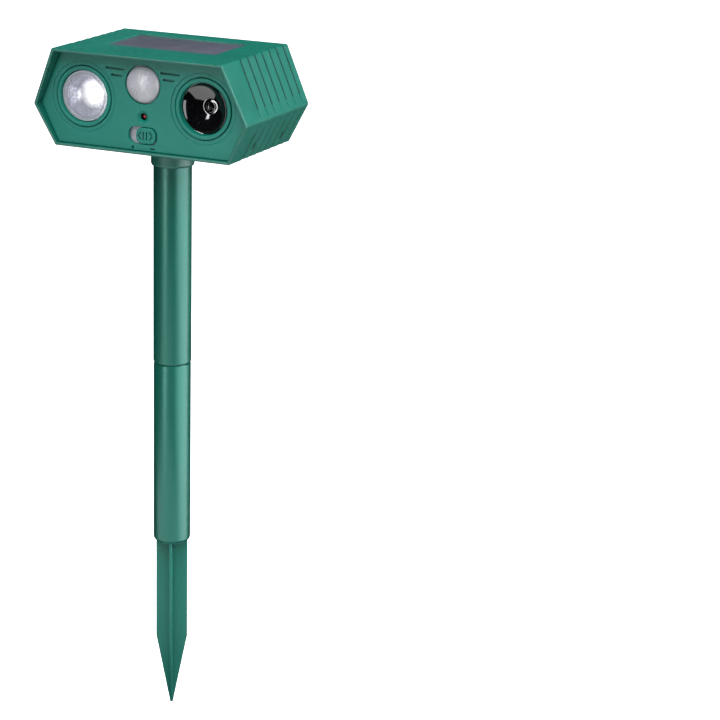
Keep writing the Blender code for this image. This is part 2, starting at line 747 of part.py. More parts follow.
# ---------------------------------------------------------------- main board
def make_board():
    back = BOARD_Y + BOARD_THICKNESS
    board = box(
        "main_board",
        (-BOARD_HALF_WIDTH, BOARD_Y, BOARD_BOTTOM),
        (BOARD_HALF_WIDTH, back, BOARD_TOP),
        ((0.02, 0.16, 0.06), 0.45),
    )
    for index, (x, height) in enumerate(POST_PLACES):
        spot = (x, 0, HEAD_BOTTOM + height)
        ends = (-back - 0.002, -BOARD_Y + 0.002)
        cut(board, rod(f"board_hole_{index + 1}", POST_PILOT, *ends, spot, None, "front", SMALL_SEGMENTS))
        head_low, head_high = -(back + GAP + 0.0014), -(back + GAP)
        turned(
            f"board_screw_{index + 1}",
            [
                (0, -BOARD_Y + 0.006),
                (0.0011, -BOARD_Y + 0.006),
                (0.0011, head_high),
                (0.0022, head_high),
                (0.0022, head_low + 0.0004),
                (0.0018, head_low),
                (0, head_low),
            ],
            spot,
            ((0.62, 0.62, 0.64), 0.3, 1.0),
            "front",
            12,
        )
    behind = back + GAP
    box(
        "controller_chip",
        (-0.0035, behind, BOARD_BOTTOM + 0.018),
        (0.0035, behind + 0.0018, BOARD_BOTTOM + 0.028),
        ((0.015, 0.015, 0.017), 0.4),
    )
    coil_z = BOARD_BOTTOM + 0.030
    turned(
        "driver_coil",
        [(0, -behind), (0.0052, -behind), (0.0052, -behind - 0.0016), (0.0030, -behind - 0.0016)]
        + [(0.0030, -behind - 0.0066), (0.0052, -behind - 0.0066), (0.0052, -behind - 0.0082)]
        + [(0, -behind - 0.0082)],
        (0.0125, 0, coil_z),
        ((0.35, 0.16, 0.06), 0.4),
        "front",
        SMALL_SEGMENTS,
    )
    for index, x in enumerate((-0.0125, 0.0125)):
        z = BOARD_BOTTOM + (0.032 if index == 0 else 0.013)
        ends, sleeve = (-behind - 0.0095, -behind), ((0.03, 0.05, 0.14), 0.35)
        rod(f"capacitor_{index + 1}", 0.0031, *ends, (x, 0, z), sleeve, "front", SMALL_SEGMENTS)


# ---------------------------------------------------------------- solar panel
def make_solar():
    low = (-WELL_HALF_WIDTH + GAP, WELL_FRONT_Y + GAP)
    high = (WELL_HALF_WIDTH - GAP, WELL_BACK_Y - GAP)
    face = HEAD_TOP - SOLAR_SINK
    back = face - SOLAR_THICKNESS
    box("solar_panel", (*low, back), (*high, face), ((0.09, 0.08, 0.11), 0.15))
    rubber = ((0.02, 0.02, 0.02), 0.8)
    seal = box("solar_seal", (*low, back - GAP - SOLAR_SEAL_THICKNESS), (*high, back - GAP), rubber)
    edge = 0.003
    cut(
        seal,
        box(
            "seal_opening",
            (low[0] + edge, low[1] + edge, back - 0.004),
            (high[0] - edge, high[1] - edge, back + 0.002),
        ),
    )


# ---------------------------------------------------------------- rear cover, screws and charging socket
def make_rear_cover():
    outline = inset_outline(HEAD_OUTLINE, RIM_WALL + GAP)
    cover = prism("rear_cover", outline, COVER_Y, BACK_Y, (GREEN, 0.45))
    for index, (x, height) in enumerate(BOSS_PLACES):
        spot = (x, 0, HEAD_BOTTOM + height)
        floor = BACK_Y - COUNTERBORE_DEPTH
        inside, beyond = -COVER_Y + 0.002, -BACK_Y - 0.002
        stepped = [
            (0, inside),
            (PILOT_RADIUS, inside),
            (PILOT_RADIUS, -floor),
            (COUNTERBORE_RADIUS, -floor),
            (COUNTERBORE_RADIUS, beyond),
            (0, beyond),
        ]
        cut(cover, turned(f"screw_hole_{index + 1}", stepped, spot, None, "front", SMALL_SEGMENTS))
        under = -(floor + GAP)
        outside = -(BACK_Y - 0.0001)
        turned(
            f"cover_screw_{index + 1}",
            [
                (0, -(BOSS_FRONT_Y + 0.008)),
                (SCREW_RADIUS, -(BOSS_FRONT_Y + 0.009)),
                (SCREW_RADIUS, under),
                (SCREW_HEAD_RADIUS, under),
                (SCREW_HEAD_RADIUS, outside + 0.0004),
                (SCREW_HEAD_RADIUS - 0.0006, outside),
                (0, outside),
            ],
            spot,
            ((0.55, 0.55, 0.57), 0.3, 1.0),
            "front",
            SMALL_SEGMENTS,
        )
    ring_prism(
        "cover_gasket", outline, HEAD_WALL - RIM_WALL - 2 * GAP, REAR_LEDGE_Y + GAP, COVER_Y - GAP,
        ((0.02, 0.02, 0.02), 0.8),
    )

    recess_floor = BACK_Y - CHARGE_RECESS_DEPTH
    recess = rounded_rectangle(*CHARGE_RECESS, 0.0035, CHARGE_X, CHARGE_Z)
    cut(cover, prism("charge_recess", recess, recess_floor, BACK_Y + 0.002))
    hole = rounded_rectangle(*CHARGE_HOLE, 0.0024, CHARGE_X, CHARGE_Z)
    cut(cover, prism("charge_hole", hole, COVER_Y - 0.002, BACK_Y + 0.002))

    shell_back = COVER_Y - 0.0010
    shell_front = shell_back - CHARGE_SHELL_LENGTH
    shell_outline = rounded_rectangle(*CHARGE_SHELL, 0.0014, CHARGE_X, CHARGE_Z, 3)
    shell = prism("charge_socket", shell_outline, shell_front, shell_back, ((0.65, 0.65, 0.67), 0.25, 1.0))
    mouth_size = (CHARGE_SHELL[0] - 0.0007, CHARGE_SHELL[1] - 0.0007)
    mouth = rounded_rectangle(*mouth_size, 0.0011, CHARGE_X, CHARGE_Z, 3)
    cut(shell, prism("charge_mouth", mouth, shell_front + 0.0012, shell_back + 0.002))
    box(
        "charge_board",
        (CHARGE_X - 0.0090, shell_front - 0.0014, CHARGE_Z - CHARGE_SHELL[1] / 2 - GAP - 0.0012),
        (CHARGE_X + 0.0090, shell_back - 0.0006, CHARGE_Z - CHARGE_SHELL[1] / 2 - GAP),
        ((0.02, 0.16, 0.06), 0.45),
    )
    flap_size = (CHARGE_RECESS[0] - 2 * GAP, CHARGE_RECESS[1] - 2 * GAP)
    flap = rounded_rectangle(*flap_size, 0.0032, CHARGE_X, CHARGE_Z)
    plug = prism("charge_plug", flap, recess_floor + GAP, BACK_Y, ((0.02, 0.02, 0.02), 0.75))
    stub = rounded_rectangle(CHARGE_HOLE[0] - 2 * GAP, CHARGE_HOLE[1] - 2 * GAP, 0.0021, CHARGE_X, CHARGE_Z)
    fuse(plug, prism("plug_stub", stub, COVER_Y - GAP, BACK_Y - 0.0006))


# ---------------------------------------------------------------- cells
def make_cells():
    floor = HEAD_BOTTOM + HEAD_WALL + GAP
    half_depth = 1.5 * CELL_PITCH + HOLDER_WALL
    holder = box(
        "battery_holder",
        (-HOLDER_HALF_LENGTH, CELL_CENTRE_Y - half_depth, floor),
        (HOLDER_HALF_LENGTH, CELL_CENTRE_Y + half_depth, floor + HOLDER_HEIGHT),
        ((0.02, 0.02, 0.02), 0.5),
    )
    inner_end = HOLDER_HALF_LENGTH - HOLDER_WALL
    cut(
        holder,
        box(
            "holder_hollow",
            (-inner_end, CELL_CENTRE_Y - half_depth + HOLDER_WALL, floor + HOLDER_WALL),
            (inner_end, CELL_CENTRE_Y + half_depth - HOLDER_WALL, floor + HOLDER_HEIGHT + 0.01),
        ),
    )
    centre_z = floor + HOLDER_WALL + GAP + CELL_RADIUS
    contact = 0.0005
    cell_end = -inner_end + GAP + contact + GAP
    for index in range(3):
        y = CELL_CENTRE_Y + (index - 1) * CELL_PITCH
        start = cell_end + 0.0012
        end = start + 2 * CELL_HALF_LENGTH - 0.0012
        cell = turned(
            f"battery_cell_{index + 1}",
            [
                (0, -cell_end),
                (0.0026, -cell_end),
                (0.0026, -start),
                (CELL_RADIUS - 0.0004, -start),
                (CELL_RADIUS, -start - 0.0004),
                (CELL_RADIUS, -end),
                (0, -end),
            ],
            (0, y, centre_z),
            ((0.10, 0.30, 0.42), 0.35),
            "up",
            20,
        )
        cell.rotation_euler = (0, math.radians(-90), 0)
        spring_start = end + 0.0009
        length = inner_end - 0.0009 - spring_start
        turns, per_turn = 2.5, 8
        count = int(turns * per_turn)
        coil = []
        for k in range(count + 1):
            share = k / count
            angle = 2 * math.pi * turns * share
            radius = 0.0022 + 0.0028 * share
            x = spring_start + length * share
            coil.append((x, y + radius * math.cos(angle), centre_z + radius * math.sin(angle)))
        wire(f"battery_spring_{index + 1}", coil, 0.0004, ((0.70, 0.70, 0.70), 0.25, 1.0))
    box(
        "battery_contact",
        (-inner_end + GAP, CELL_CENTRE_Y - CELL_PITCH - 0.004, centre_z - 0.004),
        (-inner_end + GAP + contact, CELL_CENTRE_Y + CELL_PITCH + 0.004, centre_z + 0.004),
        ((0.75, 0.73, 0.66), 0.25, 1.0),
    )


# ---------------------------------------------------------------- internal wires, each a twin lead
def make_wires():
    radius = 0.0008
    board_back = BOARD_Y + BOARD_THICKNESS
    off_board = board_back + GAP
    red, black, white = ((0.5, 0.02, 0.02), 0.5), ((0.02, 0.02, 0.02), 0.5), ((0.7, 0.7, 0.68), 0.5)
    panel_back = HEAD_TOP - SOLAR_SINK - SOLAR_THICKNESS - GAP
    wire(
        "solar_wire",
        smooth_route(
            [
                (0, 0, panel_back),
                (0, 0, panel_back - 0.006),
                (0, -0.004, HEAD_BOTTOM + 0.042),
                (0, -0.014, HEAD_BOTTOM + 0.041),
                (0, off_board, HEAD_BOTTOM + 0.043),
            ]
        ),
        radius,
        red,
    )
    light_back = PANEL_Y + 0.0169 + GAP
    wire(
        "led_wire",
        smooth_route(
            [
                (-EYE_X, light_back, EYE_Z),
                (-EYE_X + 0.002, light_back + 0.006, EYE_Z),
                (-EYE_X + 0.014, light_back + 0.010, EYE_Z - 0.002),
                (-0.021, board_back + 0.008, EYE_Z - 0.004),
                (-0.019, off_board, EYE_Z - 0.004),
            ]
        ),
        radius,
        white,
    )
    motor_back = PANEL_Y + 0.0204 + GAP
    wire(
        "speaker_wire",
        smooth_route(
            [
                (EYE_X, motor_back, EYE_Z),
                (EYE_X - 0.002, motor_back + 0.005, EYE_Z),
                (EYE_X - 0.014, motor_back + 0.006, EYE_Z - 0.002),
                (0.021, board_back + 0.007, EYE_Z - 0.004),
                (0.0195, off_board, EYE_Z - 0.004),
            ]
        ),
        radius,
        black,
    )
    holder_front = CELL_CENTRE_Y - 1.5 * CELL_PITCH - HOLDER_WALL - GAP
    wire(
        "battery_wire",
        smooth_route(
            [
                (-0.010, holder_front, HEAD_BOTTOM + 0.009),
                (-0.010, holder_front - 0.003, HEAD_BOTTOM + 0.0095),
                (-0.010, off_board + 0.003, HEAD_BOTTOM + 0.0135),
                (-0.010, off_board, HEAD_BOTTOM + 0.014),
            ]
        ),
        radius,
        red,
    )
    charge_back = COVER_Y - 0.0010 - CHARGE_SHELL_LENGTH - 0.0014 - GAP
    charge_level = CHARGE_Z - CHARGE_SHELL[1] / 2 - GAP - 0.0006
    wire(
        "charge_wire",
        smooth_route(
            [
                (CHARGE_X, charge_back, charge_level),
                (CHARGE_X, charge_back - 0.006, charge_level),
                (CHARGE_X - 0.010, 0.008, charge_level - 0.001),
                (0.014, -0.006, charge_level + 0.004),
                (0.006, -0.016, HEAD_BOTTOM + 0.0445),
                (0.005, off_board, HEAD_BOTTOM + 0.045),
            ]
        ),
        radius,
        black,
    )


def shade_pieces():
    """Apply each piece's modifiers, then shade its round faces smooth and keep its edges sharp."""
    depsgraph = bpy.context.evaluated_depsgraph_get()
    made = {obj: bpy.data.meshes.new_from_object(obj.evaluated_get(depsgraph))
            for obj in PARTS.objects if obj.type == "MESH"}
    for obj, mesh in made.items():
        obj.modifiers.clear()
        obj.data = mesh
        mesh.shade_smooth()
        mesh.set_sharp_from_angle(angle=SMOOTH_ANGLE)


def main():
    make_spike()
    make_pole()
    make_housing()
    make_front_panel()
    make_light()
    make_speaker()
    make_motion_eye()
    make_indicator()
    make_switch()
    make_board()
    make_solar()
    make_rear_cover()
    make_cells()
    make_wires()
    shade_pieces()


main()
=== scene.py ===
"""Fine surfaces for a solar garden repeller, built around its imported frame.

Metres, +Z up, the front faces -Y. Each operator makes one piece, or one group of like pieces, on the frame's
own sizes; run in order by main() they finish the whole object and its plain studio.
"""

import json
import math

import bmesh
import bpy
from bpy.props import FloatProperty, FloatVectorProperty, IntProperty, PointerProperty
from mathutils import Matrix, Vector


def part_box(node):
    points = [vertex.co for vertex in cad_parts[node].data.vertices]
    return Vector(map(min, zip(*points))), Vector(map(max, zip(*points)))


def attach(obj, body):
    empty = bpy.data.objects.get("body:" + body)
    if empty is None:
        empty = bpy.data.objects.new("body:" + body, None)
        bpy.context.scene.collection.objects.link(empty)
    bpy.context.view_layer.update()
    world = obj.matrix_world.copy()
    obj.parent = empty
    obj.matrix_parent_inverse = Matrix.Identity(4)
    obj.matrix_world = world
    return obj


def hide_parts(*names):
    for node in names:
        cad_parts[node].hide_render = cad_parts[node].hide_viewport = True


bl_info = {
    "name": "Garden Repeller Surfaces",
    "version": (1, 0, 0),
    "blender": (4, 5, 0),
    "location": "3D View > Sidebar > Repeller",
    "description": "Fine shells, lenses and finishes around the frame of a solar garden repeller",
    "category": "Mesh",
}

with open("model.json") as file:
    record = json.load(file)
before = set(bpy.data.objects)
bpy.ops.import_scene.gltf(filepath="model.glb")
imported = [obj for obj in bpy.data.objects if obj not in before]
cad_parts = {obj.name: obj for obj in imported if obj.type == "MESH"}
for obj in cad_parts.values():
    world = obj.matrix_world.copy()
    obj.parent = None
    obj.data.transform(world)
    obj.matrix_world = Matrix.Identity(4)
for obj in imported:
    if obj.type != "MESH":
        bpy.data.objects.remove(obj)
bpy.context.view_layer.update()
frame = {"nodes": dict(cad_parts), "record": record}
GAP = 0.0003  # seating gap between neighbouring pieces
FULL_TURN = math.tau
ROUND_STEPS = 96  # sides of the turned pieces and round openings
PANEL_THICKNESS = 0.0025
RING_FLANGE = 0.0012  # thickness of an eye ring's flange behind the panel
ACCENTS = ((0.0118, 0.0249, 0.0499), (0.0136, 0.0214, 0.0460))  # from x, to x, height over the floor
MARK_HEIGHT = 0.00385  # of the two switch marks, over the floor
MARK_REACH = 0.0066
SLOTS_Y = (-0.016, 0.0225)  # the narrow slots low in each side
SLOT_HALF = 0.00075
SLOT_DEPTH = 0.0014


def low(node):
    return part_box(node)[0]


def high(node):
    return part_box(node)[1]


# sizes read from the frame's pieces
HEAD_TOP = high("housing").z
HEAD_BOTTOM = high("upper_tube").z + GAP
BACK_Y = high("housing").y
RIM_TOP_Y = low("housing").y
PANEL_Y = high("led_bezel").y - PANEL_THICKNESS - GAP - RING_FLANGE
EYE_Z = (low("led_bezel").z + high("led_bezel").z) / 2
EYE_X = (low("speaker_bezel").x + high("speaker_bezel").x) / 2
PIR_Z = (low("pir_lens").z + high("pir_lens").z) / 2
INDICATOR_Z = (low("indicator_led").z + high("indicator_led").z) / 2
SWITCH_Z = (low("switch_plate").z + high("switch_plate").z) / 2
KNOB_X = (low("switch_knob").x + high("switch_knob").x) / 2
TUBE_RADIUS = high("upper_tube").x
LOWER_TUBE_RADIUS = high("lower_tube").x
TUBE_JOINT = low("upper_tube").z - GAP / 2
GROUND_Z = low("ground_spike").z
SLOT_HIGH = HEAD_BOTTOM + 0.0096
SLOT_LOW = HEAD_BOTTOM + 0.0048


def metres(name, description, default, **more):
    return FloatProperty(
        name=name, description=description, default=default, unit="LENGTH", precision=5, **more
    )


def tint(name, description, default):
    return FloatVectorProperty(
        name=name, description=description, default=default, subtype="COLOR", min=0, max=1
    )


# ------------------------------------------------------------ settings
class HeadSettings(bpy.types.PropertyGroup):
    top_half: metres("Roof half width", "Half the roof's width, to its corner", 0.0565)
    wide_half: metres("Widest half width", "Half the head's width at its side corners", 0.0715)
    wide_height: metres("Side corner height", "Height of the side corners over the head's floor", 0.0247)
    floor_half: metres("Floor half width", "Half the floor's width, to its corner", 0.0585)
    rim_floor_y: metres("Lower rim", "Y of the raked rim at the head's floor", -0.0405)
    rim_wall: metres("Rim wall", "Wall thickness at the hood's rim", 0.0019)
    wall: metres("Wall", "Wall thickness behind the panel", 0.0032)
    corner: metres("Corner radius", "Rounding along the edges of the roof and the floor", 0.0011)
    side_corner: metres("Side corner radius", "Rounding along the head's two widest edges", 0.0025)
    rear_round: metres("Rear rounding", "Rounding round the rear edge", 0.0015)
    slat_first: metres("First slat", "Y of the first slat line", -0.0236)
    slat_pitch: metres("Slat pitch", "Distance between slat lines", 0.00955)
    slat_run: metres("Slat ramp", "Length of each slat's ramp", 0.0089)
    slat_depth: metres("Slat depth", "Depth of each slat's groove", 0.0009)
    slat_count: IntProperty(name="Slats", description="Slat lines on each slanted face", default=7, min=1)
    slat_upper_end: metres("Upper slats' end", "Height over the floor where the upper slats stop", 0.0312)
    slat_lower_start: metres("Lower slats' start", "Height over the floor of the lower slats' start", 0.0190)
    well_half: metres("Well half width", "Half the width of the solar well", 0.0375)
    well_front: metres("Well front", "Y of the solar well's front wall", -0.0175)
    well_back: metres("Well back", "Y of the solar well's rear wall", 0.0260)
    well_depth: metres("Well depth", "Depth of the solar well under the roof", 0.0036)
    collar_radius: metres("Collar radius", "Outer radius of the collar over the pole", 0.0133)


class PanelSettings(bpy.types.PropertyGroup):
    thickness: metres("Thickness", "Thickness of the front panel", PANEL_THICKNESS)
    dish_radius: metres("Sunken ring", "Radius of the shallow step round each eye", 0.0213)
    dish_depth: metres("Sunken depth", "Depth of the shallow step round each eye", 0.00060)
    eye_hole: metres("Eye hole", "Radius of the two large openings", 0.0188)
    pir_hole: metres("Motion eye hole", "Radius of the motion eye's opening", 0.0117)
    indicator_hole: metres("Indicator hole", "Radius of the indicator's opening", 0.0022)
    countersink: metres("Countersink", "Radius of the dish round the indicator", 0.0037)
    slot_width: metres("Slot width", "Width of the switch's slot", 0.0192)
    slot_height: metres("Slot height", "Height of the switch's slot", 0.0106)
    slot_corner: metres("Slot corner", "Corner radius of the switch's slot", 0.0045)
    accent_width: metres("Accent width", "Width of the accent grooves", 0.0013)
    accent_depth: metres("Accent depth", "Depth of the accent grooves", 0.0013)


class FinishSettings(bpy.types.PropertyGroup):
    head: tint("Head green", "Moulded head and rim", (0.011, 0.190, 0.142))
    panel: tint("Panel green", "Front panel and rings", (0.007, 0.238, 0.181))
    pole: tint("Pole green", "Round tubes", (0.002, 0.120, 0.085))
    spike: tint("Spike green", "Ground spike", (0.010, 0.190, 0.145))
    solar: tint("Solar film", "Dark film under the solar panel's cover", (0.105, 0.110, 0.150))
    lens: tint("Milky lens", "Motion eye", (0.64, 0.64, 0.71))
    black: tint("Gloss black", "Speaker dish and dome", (0.004, 0.004, 0.005))


class StudioSettings(bpy.types.PropertyGroup):
    lens: FloatProperty(name="Lens", description="Focal length in millimetres", default=125.0, min=1)
    place: FloatVectorProperty(
        name="Camera place", description="Where the camera stands", default=(0.70327, -1.32104, 0.56376),
        unit="LENGTH",
    )
    azimuth: FloatProperty(
        name="Azimuth", description="Camera's turn to the right of the front", default=math.radians(23.55),
        subtype="ANGLE",
    )
    elevation: FloatProperty(
        name="Elevation", description="How far the camera looks down", default=math.radians(16.54),
        subtype="ANGLE",
    )
    roll: FloatProperty(name="Roll", description="Camera's roll", default=math.radians(1.4), subtype="ANGLE")
    floor_size: metres("Floor", "Half the floor's width", 9.0)
    floor_glow: FloatProperty(
        name="Floor glow", description="How much the pale floor lifts towards white", default=1.2, min=0
    )
    sky: FloatProperty(name="Room light", description="Strength of the even room light", default=0.36, min=0)


# ------------------------------------------------------------ mesh helpers
def strip(ends):
    """A new bmesh with a run of joined points."""
    bm = bmesh.new()
    verts = [bm.verts.new(p) for p in ends]
    for a, b in zip(verts, verts[1:]):
        bm.edges.new((a, b))
    return bm


def skin(bm, rings):
    """Draws the first ring of points, extrudes it from ring to ring and returns its two end loops."""
    order = bm.verts.layers.int.get("order") or bm.verts.layers.int.new("order")
    verts = [bm.verts.new(p) for p in rings[0]]
    for number, vert in enumerate(verts):
        vert[order] = number
    first = edges = [bm.edges.new(pair) for pair in zip(verts, verts[1:] + verts[:1])]
    for ring in rings[1:]:
        made = bmesh.ops.extrude_edge_only(bm, edges=edges)["geom"]
        for vert in (g for g in made if isinstance(g, bmesh.types.BMVert)):
            vert.co = ring[vert[order]]
        edges = [g for g in made if isinstance(g, bmesh.types.BMEdge) and g.is_boundary]
    return first, edges


def fill(bm, edges, normal):
    """Closes a flat face between loops, leaving the inner loops open."""
    bmesh.ops.triangle_fill(bm, use_beauty=True, use_dissolve=False, edges=edges, normal=normal)


def close_loop(bm, edges):
    """Closes one loop with a face."""
    bmesh.ops.contextual_create(bm, geom=edges, mat_nr=0, use_smooth=True)


def lathe(profile, centre, facing="up", steps=ROUND_STEPS):
    """A turned piece: (radius, height) points spun round the axis. Facing front turns its height to -Y."""
    closed = profile[0][0] > 0 or profile[-1][0] > 0
    bm = strip([(r, 0, h) for r, h in profile])
    if closed:
        ends = [v for v in bm.verts if len(v.link_edges) == 1]
        bm.edges.new(ends)
    bmesh.ops.spin(
        bm, geom=bm.verts[:] + bm.edges[:], cent=(0, 0, 0), axis=(0, 0, 1), dvec=(0, 0, 0), angle=FULL_TURN,
        steps=steps, use_merge=True, use_duplicate=False,
    )
    bmesh.ops.remove_doubles(bm, verts=bm.verts, dist=0.000002)
    bmesh.ops.recalc_face_normals(bm, faces=bm.faces)
    turn = Matrix.Rotation(math.pi / 2, 4, "X") if facing == "front" else Matrix.Identity(4)
    bmesh.ops.transform(bm, matrix=Matrix.Translation(centre) @ turn, verts=bm.verts)
    return bm


def bevel_sharp(bm, width, angle=math.radians(28), segments=3):
    """Rounds every edge that turns by more than an angle."""
    sharp = [e for e in bm.edges if e.is_manifold and e.calc_face_angle() > angle]
    bmesh.ops.bevel(
        bm, geom=sharp, offset=width, offset_type="OFFSET", segments=segments, profile=0.5, affect="EDGES",
        clamp_overlap=True, material=-1, loop_slide=True,
    )


def block(low_corner, high_corner, soft=0.0):
    """A block between two corners, with rounded edges."""
    low_corner, high_corner = Vector(low_corner), Vector(high_corner)
    scale = Matrix.Diagonal((*(high_corner - low_corner), 1.0))
    bm = bmesh.new()
    bmesh.ops.create_cube(bm, size=1.0, matrix=Matrix.Translation((low_corner + high_corner) / 2) @ scale)
    if soft:
        bevel_sharp(bm, soft)
    return bm


def join(target, *others):
    """Adds the faces of other bmeshes to the first."""
    for other in others:
        mesh = bpy.data.meshes.new("joined")
        other.to_mesh(mesh)
        other.free()
        target.from_mesh(mesh)
        bpy.data.meshes.remove(mesh)
    return target


def finish_piece(name, bm, body, finish, stands_for=(), angle=math.radians(32)):
    """Makes the object, smooth but for its sharp edges, on its body and in place of its CAD nodes."""
    mesh = bpy.data.meshes.new(name)
    bm.normal_update()
    bm.to_mesh(mesh)
    bm.free()
    mesh.shade_smooth()
    mesh.set_sharp_from_angle(angle=angle)
    mesh.materials.append(finish_named(finish))
    obj = bpy.data.objects.new(name, mesh)
    bpy.context.scene.collection.objects.link(obj)
    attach(obj, body)
    if stands_for:
        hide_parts(*stands_for)
    return obj


def circle(x, z, radius, steps=ROUND_STEPS):
    """An outline function: the circle's points, moved outwards by an offset."""
    def points(offset):
        r = radius + offset
        turns = [FULL_TURN * k / steps for k in range(steps)]
        return [(x + r * math.cos(turn), z + r * math.sin(turn)) for turn in turns]
    return points


def rounded_box(x, z, width, height, corner, steps=8):
    """An outline function: a rounded rectangle's points, moved outwards by an offset."""
    def points(offset):
        r = max(corner + offset, 0.00005)
        half_w, half_h = width / 2 + offset - r, height / 2 + offset - r
        result = []
        for quarter, (sx, sz) in enumerate(((1, 1), (-1, 1), (-1, -1), (1, -1))):
            for k in range(steps + 1):
                a = math.pi / 2 * (quarter + k / steps)
                result.append((x + sx * half_w + r * math.cos(a), z + sz * half_h + r * math.sin(a)))
        return result
    return points


def facing_rings(outline, steps, y):
    """Rings of points for an outline function, from (offset, depth behind y) steps."""
    return [[(px, y + depth, pz) for px, pz in outline(offset)] for offset, depth in steps]


def pierce(bm, outline, steps, y, fronts, backs):
    """Walls one opening and adds its two ends to the loops that the faces are filled between."""
    first, last = skin(bm, facing_rings(outline, steps, y))
    fronts += first
    backs += last


def engrave(bm, outline, steps, y, fronts):
    """Sinks one closed groove and adds its rim to the loops that the face is filled between."""
    first, last = skin(bm, facing_rings(outline, steps, y))
    fronts += first
    close_loop(bm, last)


def direction(azimuth, elevation):
    """A unit vector from the object, by angles to the right of the front and upwards."""
    level = math.cos(elevation)
    return Vector((math.sin(azimuth) * level, -math.cos(azimuth) * level, math.sin(elevation)))


# ------------------------------------------------------------ materials
def mottled(tree, scale, detail, dark, light):
    """A colour that drifts between two by noise."""
    return tones(tree, spread(tree, noise_on(tree, scale, detail), 0, 1), dark, light).outputs["Result"]


def new_finish(name, colour, roughness, metallic=0.0):
    mat = bpy.data.materials.new(name)
    mat.use_nodes = True
    shader = mat.node_tree.nodes["Principled BSDF"]
    shader.inputs["Base Color"].default_value = (*colour, 1.0)
    shader.inputs["Roughness"].default_value = roughness
    shader.inputs["Metallic"].default_value = metallic
    mat.diffuse_color = (*colour, 1.0)
    return mat, mat.node_tree, shader


def add_node(tree, kind, **sockets):
    node = tree.nodes.new(kind)
    for socket, value in sockets.items():
        node.inputs[socket.replace("_", " ")].default_value = value
    return node


def noise_on(tree, scale, detail=2.0, stretch=(1, 1, 1)):
    """Noise on object coordinates, drawn out along an axis where stretch is under 1."""
    where = tree.nodes.new("ShaderNodeTexCoord")
    turn = tree.nodes.new("ShaderNodeMapping")
    turn.inputs["Scale"].default_value = stretch
    noise = add_node(tree, "ShaderNodeTexNoise", Scale=scale, Detail=detail)
    tree.links.new(where.outputs["Object"], turn.inputs["Vector"])
    tree.links.new(turn.outputs["Vector"], noise.inputs["Vector"])
    return noise.outputs["Fac"]


def spread(tree, value, out_low, out_high, in_low=0.3, in_high=0.7):
    """Remaps a value to a new range."""
    remap = tree.nodes.new("ShaderNodeMapRange")
    remap.inputs["From Min"].default_value = in_low
    remap.inputs["From Max"].default_value = in_high
    remap.inputs["To Min"].default_value = out_low
    remap.inputs["To Max"].default_value = out_high
    tree.links.new(value, remap.inputs["Value"])
    return remap.outputs["Result"]


def tones(tree, factor, dark, light):
    """A colour between two, by a factor."""
    mix = tree.nodes.new("ShaderNodeMix")
    mix.data_type = "RGBA"
    mix.inputs["A"].default_value = (*dark, 1.0)
    mix.inputs["B"].default_value = (*light, 1.0)
    tree.links.new(factor, mix.inputs["Factor"])
    return mix


def blended(tree, colour, over, factor):
    """Lays a plain colour over another by a factor."""
    mix = tree.nodes.new("ShaderNodeMix")
    mix.data_type = "RGBA"
    mix.inputs["B"].default_value = (*over, 1.0)
    tree.links.new(factor, mix.inputs["Factor"])
    tree.links.new(colour, mix.inputs["A"])
    return mix.outputs["Result"]


def scaled(colour, amount):
    return tuple(min(1.0, c * amount) for c in colour)


def bumped(tree, shader, height, distance):
    bump = add_node(tree, "ShaderNodeBump", Strength=1.0, Distance=distance)
    tree.links.new(height, bump.inputs["Height"])
    tree.links.new(bump.outputs["Normal"], shader.inputs["Normal"])


def maths(tree, operation, value, other=None):
    """A value on its own, with a number or with another value, through a math node."""
    node = tree.nodes.new("ShaderNodeMath")
    node.operation = operation
    tree.links.new(value, node.inputs[0])
    if isinstance(other, (int, float)):
        node.inputs[1].default_value = other
    elif other is not None:
        tree.links.new(other, node.inputs[1])
    return node.outputs[0]


def ripples(tree, value, pitch):
    """A sine wave along a value."""
    return maths(tree, "SINE", maths(tree, "MULTIPLY", value, FULL_TURN / pitch))


def object_place(tree):
    """The X, Y and Z of object coordinates."""
    where = tree.nodes.new("ShaderNodeTexCoord")
    split = tree.nodes.new("ShaderNodeSeparateXYZ")
    tree.links.new(where.outputs["Object"], split.inputs["Vector"])
    return split.outputs["X"], split.outputs["Y"], split.outputs["Z"]


def painted_slat_shadows(tree):
    """Mask of the painted shadow in the slats' grooves: 1 along the bottoms of the grooves, 0 elsewhere, on
    object coordinates.
    """
    head = bpy.context.scene.repeller_head
    pitch = head.slat_pitch
    x, y, z = object_place(tree)
    line_centre = head.slat_first + 0.00115
    along = maths(tree, "SUBTRACT", y, line_centre)
    line = spread(tree, maths(tree, "PINGPONG", along, pitch / 2), 0.97, 0.0, 0.00060, 0.00078)
    off_middle = maths(tree, "ABSOLUTE", maths(tree, "SUBTRACT", along, 3 * pitch))
    line = maths(tree, "MULTIPLY", line, spread(tree, off_middle, 1.0, 0.0, 3.15 * pitch, 3.2 * pitch))
    across = maths(tree, "ABSOLUTE", x)
    side = spread(tree, across, 0.0, 1.0, head.top_half - 0.003, head.top_half)
    line = maths(tree, "MULTIPLY", line, side)
    middle = HEAD_BOTTOM + (head.slat_upper_end + head.slat_lower_start) / 2
    half = (head.slat_upper_end - head.slat_lower_start) / 2
    off_corner = maths(tree, "ABSOLUTE", maths(tree, "SUBTRACT", z, middle))
    return maths(tree, "MULTIPLY", line, spread(tree, off_corner, 0.0, 1.0, half - 0.0002, half + 0.0002))


